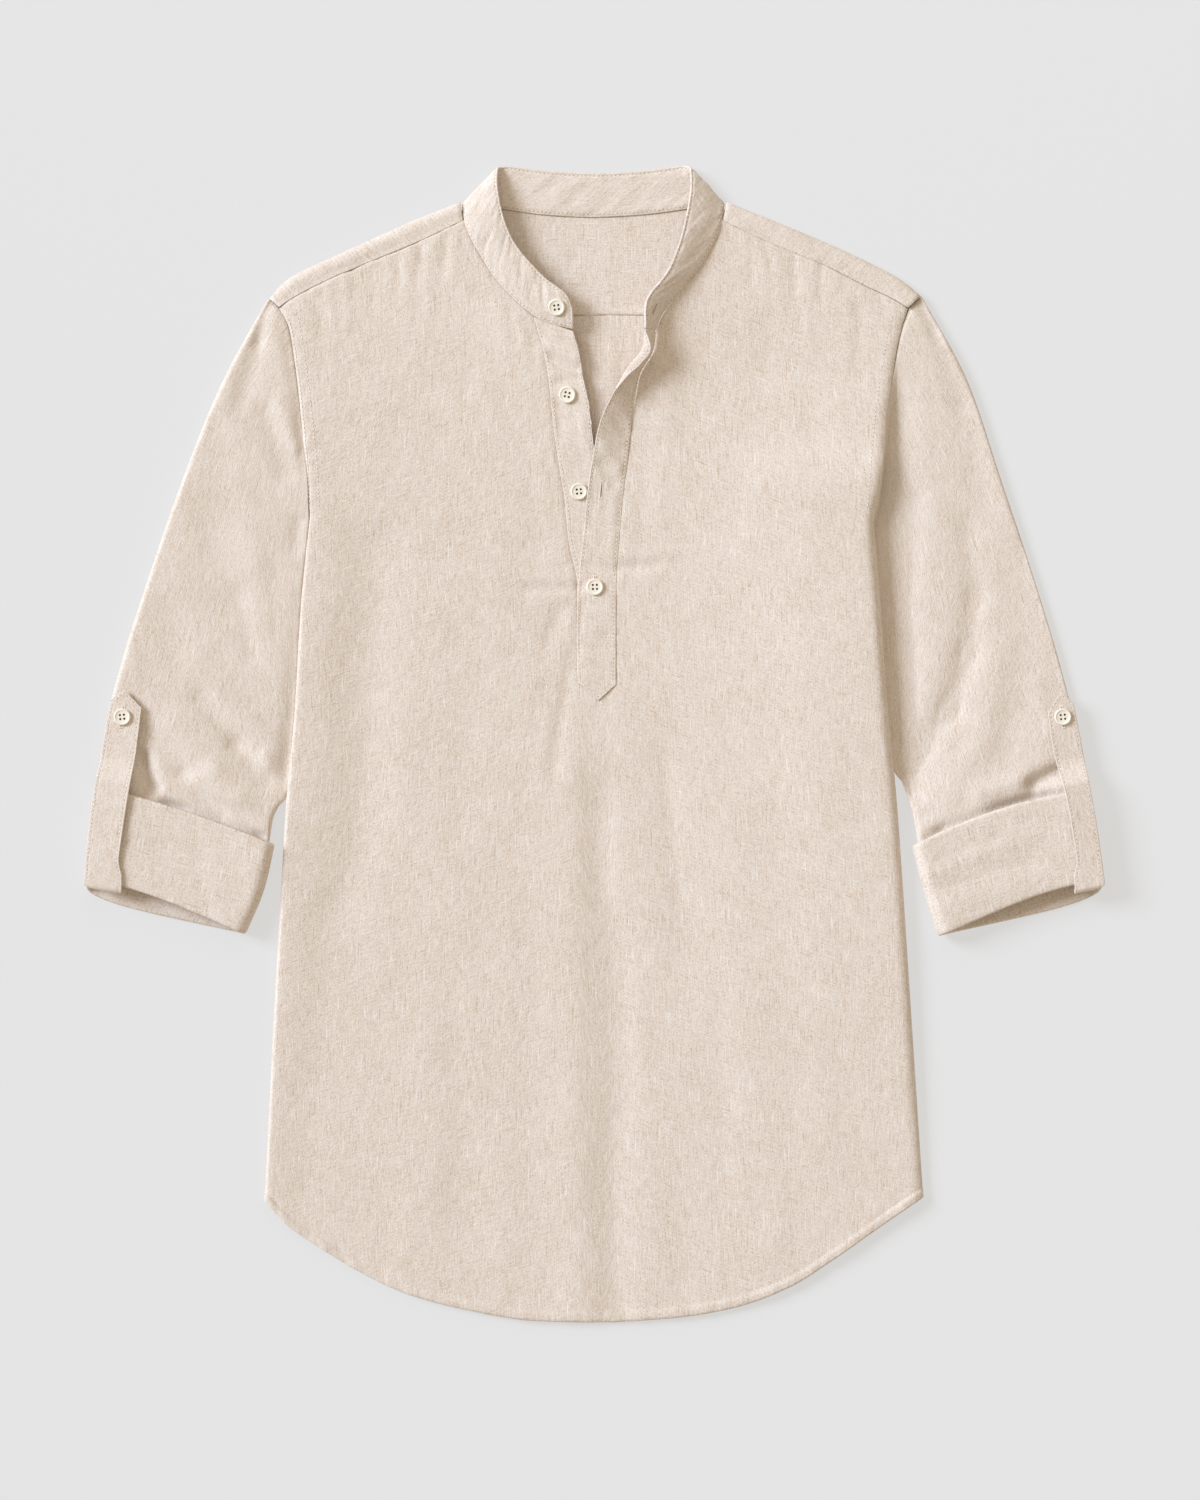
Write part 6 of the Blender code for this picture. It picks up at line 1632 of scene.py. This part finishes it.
# Buttons: what each lies on, how thick that is, and how far the button is turned, in degrees.
button = button_mesh()
carriers = {
    "band_button": (band_points, BAND_CLOTH, 8),
    "placket_button_1": (under_points, DOUBLE_CLOTH, -12),
    "placket_button_2": (under_points, DOUBLE_CLOTH, 5),
    "placket_button_3": (top_points, TOP_CLOTH, 2),
}
buttons, button_thread_and_hole_shades = {}, {}
for name, (x, y) in FRONT_BUTTONS.items():
    grid, thickness, spin = carriers[name]
    buttons[name], button_thread_and_hole_shades[name] = place_button(name, button, grid, thickness, x, y, spin)
for side, (x, y) in TAB_BUTTONS.items():
    name = "tab_button_" + side
    buttons[name], button_thread_and_hole_shades[name] = place_button(
        name, button, tab_upper[side], TOP_CLOTH, x, y, TAB_BUTTON_SPIN)


def hole_in(face, rows, column):
    """The place and the direction of a buttonhole from one row of a face to another."""
    start, end = face.at(rows, [column, column])
    return (start[:3], start[3:]), end[:3] - start[:3]


# Buttonholes: two open ones on the rolled edge, and the ends of those that their buttons fill.
band_rows = [band_points.shape[0] - 22.0, band_points.shape[0] - 16.0]
holes = {
    "collar_band": [(*hole_in(band_face, band_rows, 12.0), 12.0)],
    "top_placket": [
        (seat_on(top_points, TOP_CLOTH, 5.2, 175.4), (0.08, 1, 0), 11.5),
        (seat_on(top_points, TOP_CLOTH, 0.7, 108.2), (0, 1, 0), 14.5),
        (*hole_in(Surface(top_points, TOP_CLOTH), [28.0, 34.0], 11.0), 12.0),
    ],
}
for side, (x, y) in TAB_BUTTONS.items():
    holes["tab_" + side] = [(seat_on(tab_upper[side], TOP_CLOTH, x, y), (SIGN[side] * -0.12, 1, 0), 14.5)]
hole_threads, hole_slit_shades = {}, {}
for node_name, places in holes.items():
    threads, slit_shades = [], []
    for (centre, normal), direction, length in places:
        worked, slit = buttonhole(centre, normal, np.asarray(direction, dtype=float), length)
        threads += worked
        slit_shades.append(slit)
    hole_threads[node_name] = thread_mesh(node_name + "_buttonhole", threads)
    hole_slit_shades[node_name] = thread_mesh(node_name + "_buttonhole_slit_shade", slit_shades)

# The cut of each piece that shows: width, length and flat area in metres, all round on a tube.
CUT = {
    "front": (0.490, 0.762, 0.310), "back": (0.452, 0.700, 0.285), "yoke": (0.458, 0.140, 0.0312),
    "collar_band": (0.028, 0.440, 0.0120), "under_placket": (0.028, 0.252, 0.0066),
    "top_placket": (0.030, 0.264, 0.0072),
    "sleeve_left": (0.330, 0.330, 0.0800), "sleeve_right": (0.330, 0.330, 0.0800),
    "sleeve_roll_left": (0.262, 0.075, 0.0183), "sleeve_roll_right": (0.262, 0.075, 0.0183),
    "tab_left": (0.024, 0.160, 0.0036), "tab_right": (0.018, 0.160, 0.0028),
}

FINISH = {
    "front": linen("linen_front", 0), "back": linen("linen_back", 913), "yoke": linen("linen_yoke", 431),
    "collar_band": linen("linen_band", 1207, crinkled=0.8, tone=0.02),
    "under_placket": linen("linen_under_placket", 1733, crinkled=0.8),
    "top_placket": linen("linen_top_placket", 2119, crinkled=0.8),
    "sleeve_left": linen("linen_sleeve_left", 2593), "sleeve_right": linen("linen_sleeve_right", 3041),
    "sleeve_roll_left": linen("linen_roll_left", 3517, slubbed=1.2),
    "sleeve_roll_right": linen("linen_roll_right", 3989, slubbed=1.2),
    "tab_left": linen("linen_tab_left", 4421, crinkled=0.8),
    "tab_right": linen("linen_tab_right", 4877, crinkled=0.8),
}
sewing_thread = spun_thread("sewing_thread", (0.90, 0.83, 0.75))
# Dark brown thread filling the button holes: thread colour, darkened further as painted shade of the holes.
button_thread_and_hole_shade = spun_thread("button_thread_and_hole_shade", (0.12, 0.055, 0.024))
# Dark brown spindles in the needle dents: painted shade.
dent_shadow = spun_thread("painted_needle_shade", (0.30, 0.20, 0.13), rough=0.95)
# Near-black brown thread along each buttonhole slit: painted shade.
slit_shadow = spun_thread("buttonhole_slit_shade", (0.16, 0.095, 0.055), rough=0.95)

for node_name, piece in cloth.items():
    piece.data.materials.append(FINISH[node_name])
    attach(piece, "root")
    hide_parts(node_name)
    width, length, area = CUT[node_name]
for parts, finish in ((sewing, sewing_thread), (painted_dent_shades, dent_shadow), (hole_threads, sewing_thread),
                      (hole_slit_shades, slit_shadow), (button_thread_and_hole_shades, button_thread_and_hole_shade)):
    for piece in parts.values():
        piece.data.materials.append(finish)
        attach(piece, "root")
ivory = button_ivory()
for node_name, piece in buttons.items():
    piece.data.materials.append(ivory)
    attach(piece, "root")
    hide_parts(node_name)

# ---------------------------------------------------------------- floor, light and camera

scene = bpy.context.scene
scene.view_settings.view_transform = "Standard"

bpy.ops.mesh.primitive_plane_add(size=12, location=(0, 0, -0.0002))
floor = bpy.context.object
floor.name = "floor"
floor_paper, _, paper = new_material("floor_paper")
paper.inputs["Base Color"].default_value = (0.22, 0.22, 0.22, 1)
paper.inputs["Roughness"].default_value = 0.95
paper.inputs["Specular IOR Level"].default_value = 0.0
paper.inputs["Emission Color"].default_value = (1, 1, 1, 1)
paper.inputs["Emission Strength"].default_value = 0.563
floor.data.materials.append(floor_paper)

sun = bpy.data.lights.new("window", "SUN")
sun.energy = 3.02
sun.color = (0.88, 1.0, 1.20)
sun.angle = math.radians(24)
sun_object = placed("window", sun)
sun_object.rotation_euler = Vector((0.78, -0.36, -0.51)).to_track_quat("-Z", "Y").to_euler()

world = bpy.data.worlds.new("studio")
scene.world = world
world.use_nodes = True
world.node_tree.nodes["Background"].inputs[0].default_value = (1.14, 1.0, 0.80, 1)
world.node_tree.nodes["Background"].inputs[1].default_value = 0.455

fill = bpy.data.lights.new("overhead_fill", "AREA")
fill.energy = 3.5
fill.size = 1.2
fill.color = (1.02, 1.0, 0.97)
fill_object = placed("overhead_fill", fill)
fill_object.location = (-0.1, 1.5, 1.3)
fill_object.rotation_euler = Vector((0.05, -1.4, -1.3)).to_track_quat("-Z", "Y").to_euler()

VIEW_HEIGHT = 1.0371     # metres of floor from the top to the bottom of the view
LENS = 120.0
camera = bpy.data.cameras.new("camera")
camera_object = placed("camera", camera)
camera.lens = LENS
camera.clip_end = 20
camera_object.location = (0.00415, -0.0045, VIEW_HEIGHT * LENS / camera.sensor_width + 0.006)
scene.camera = camera_object
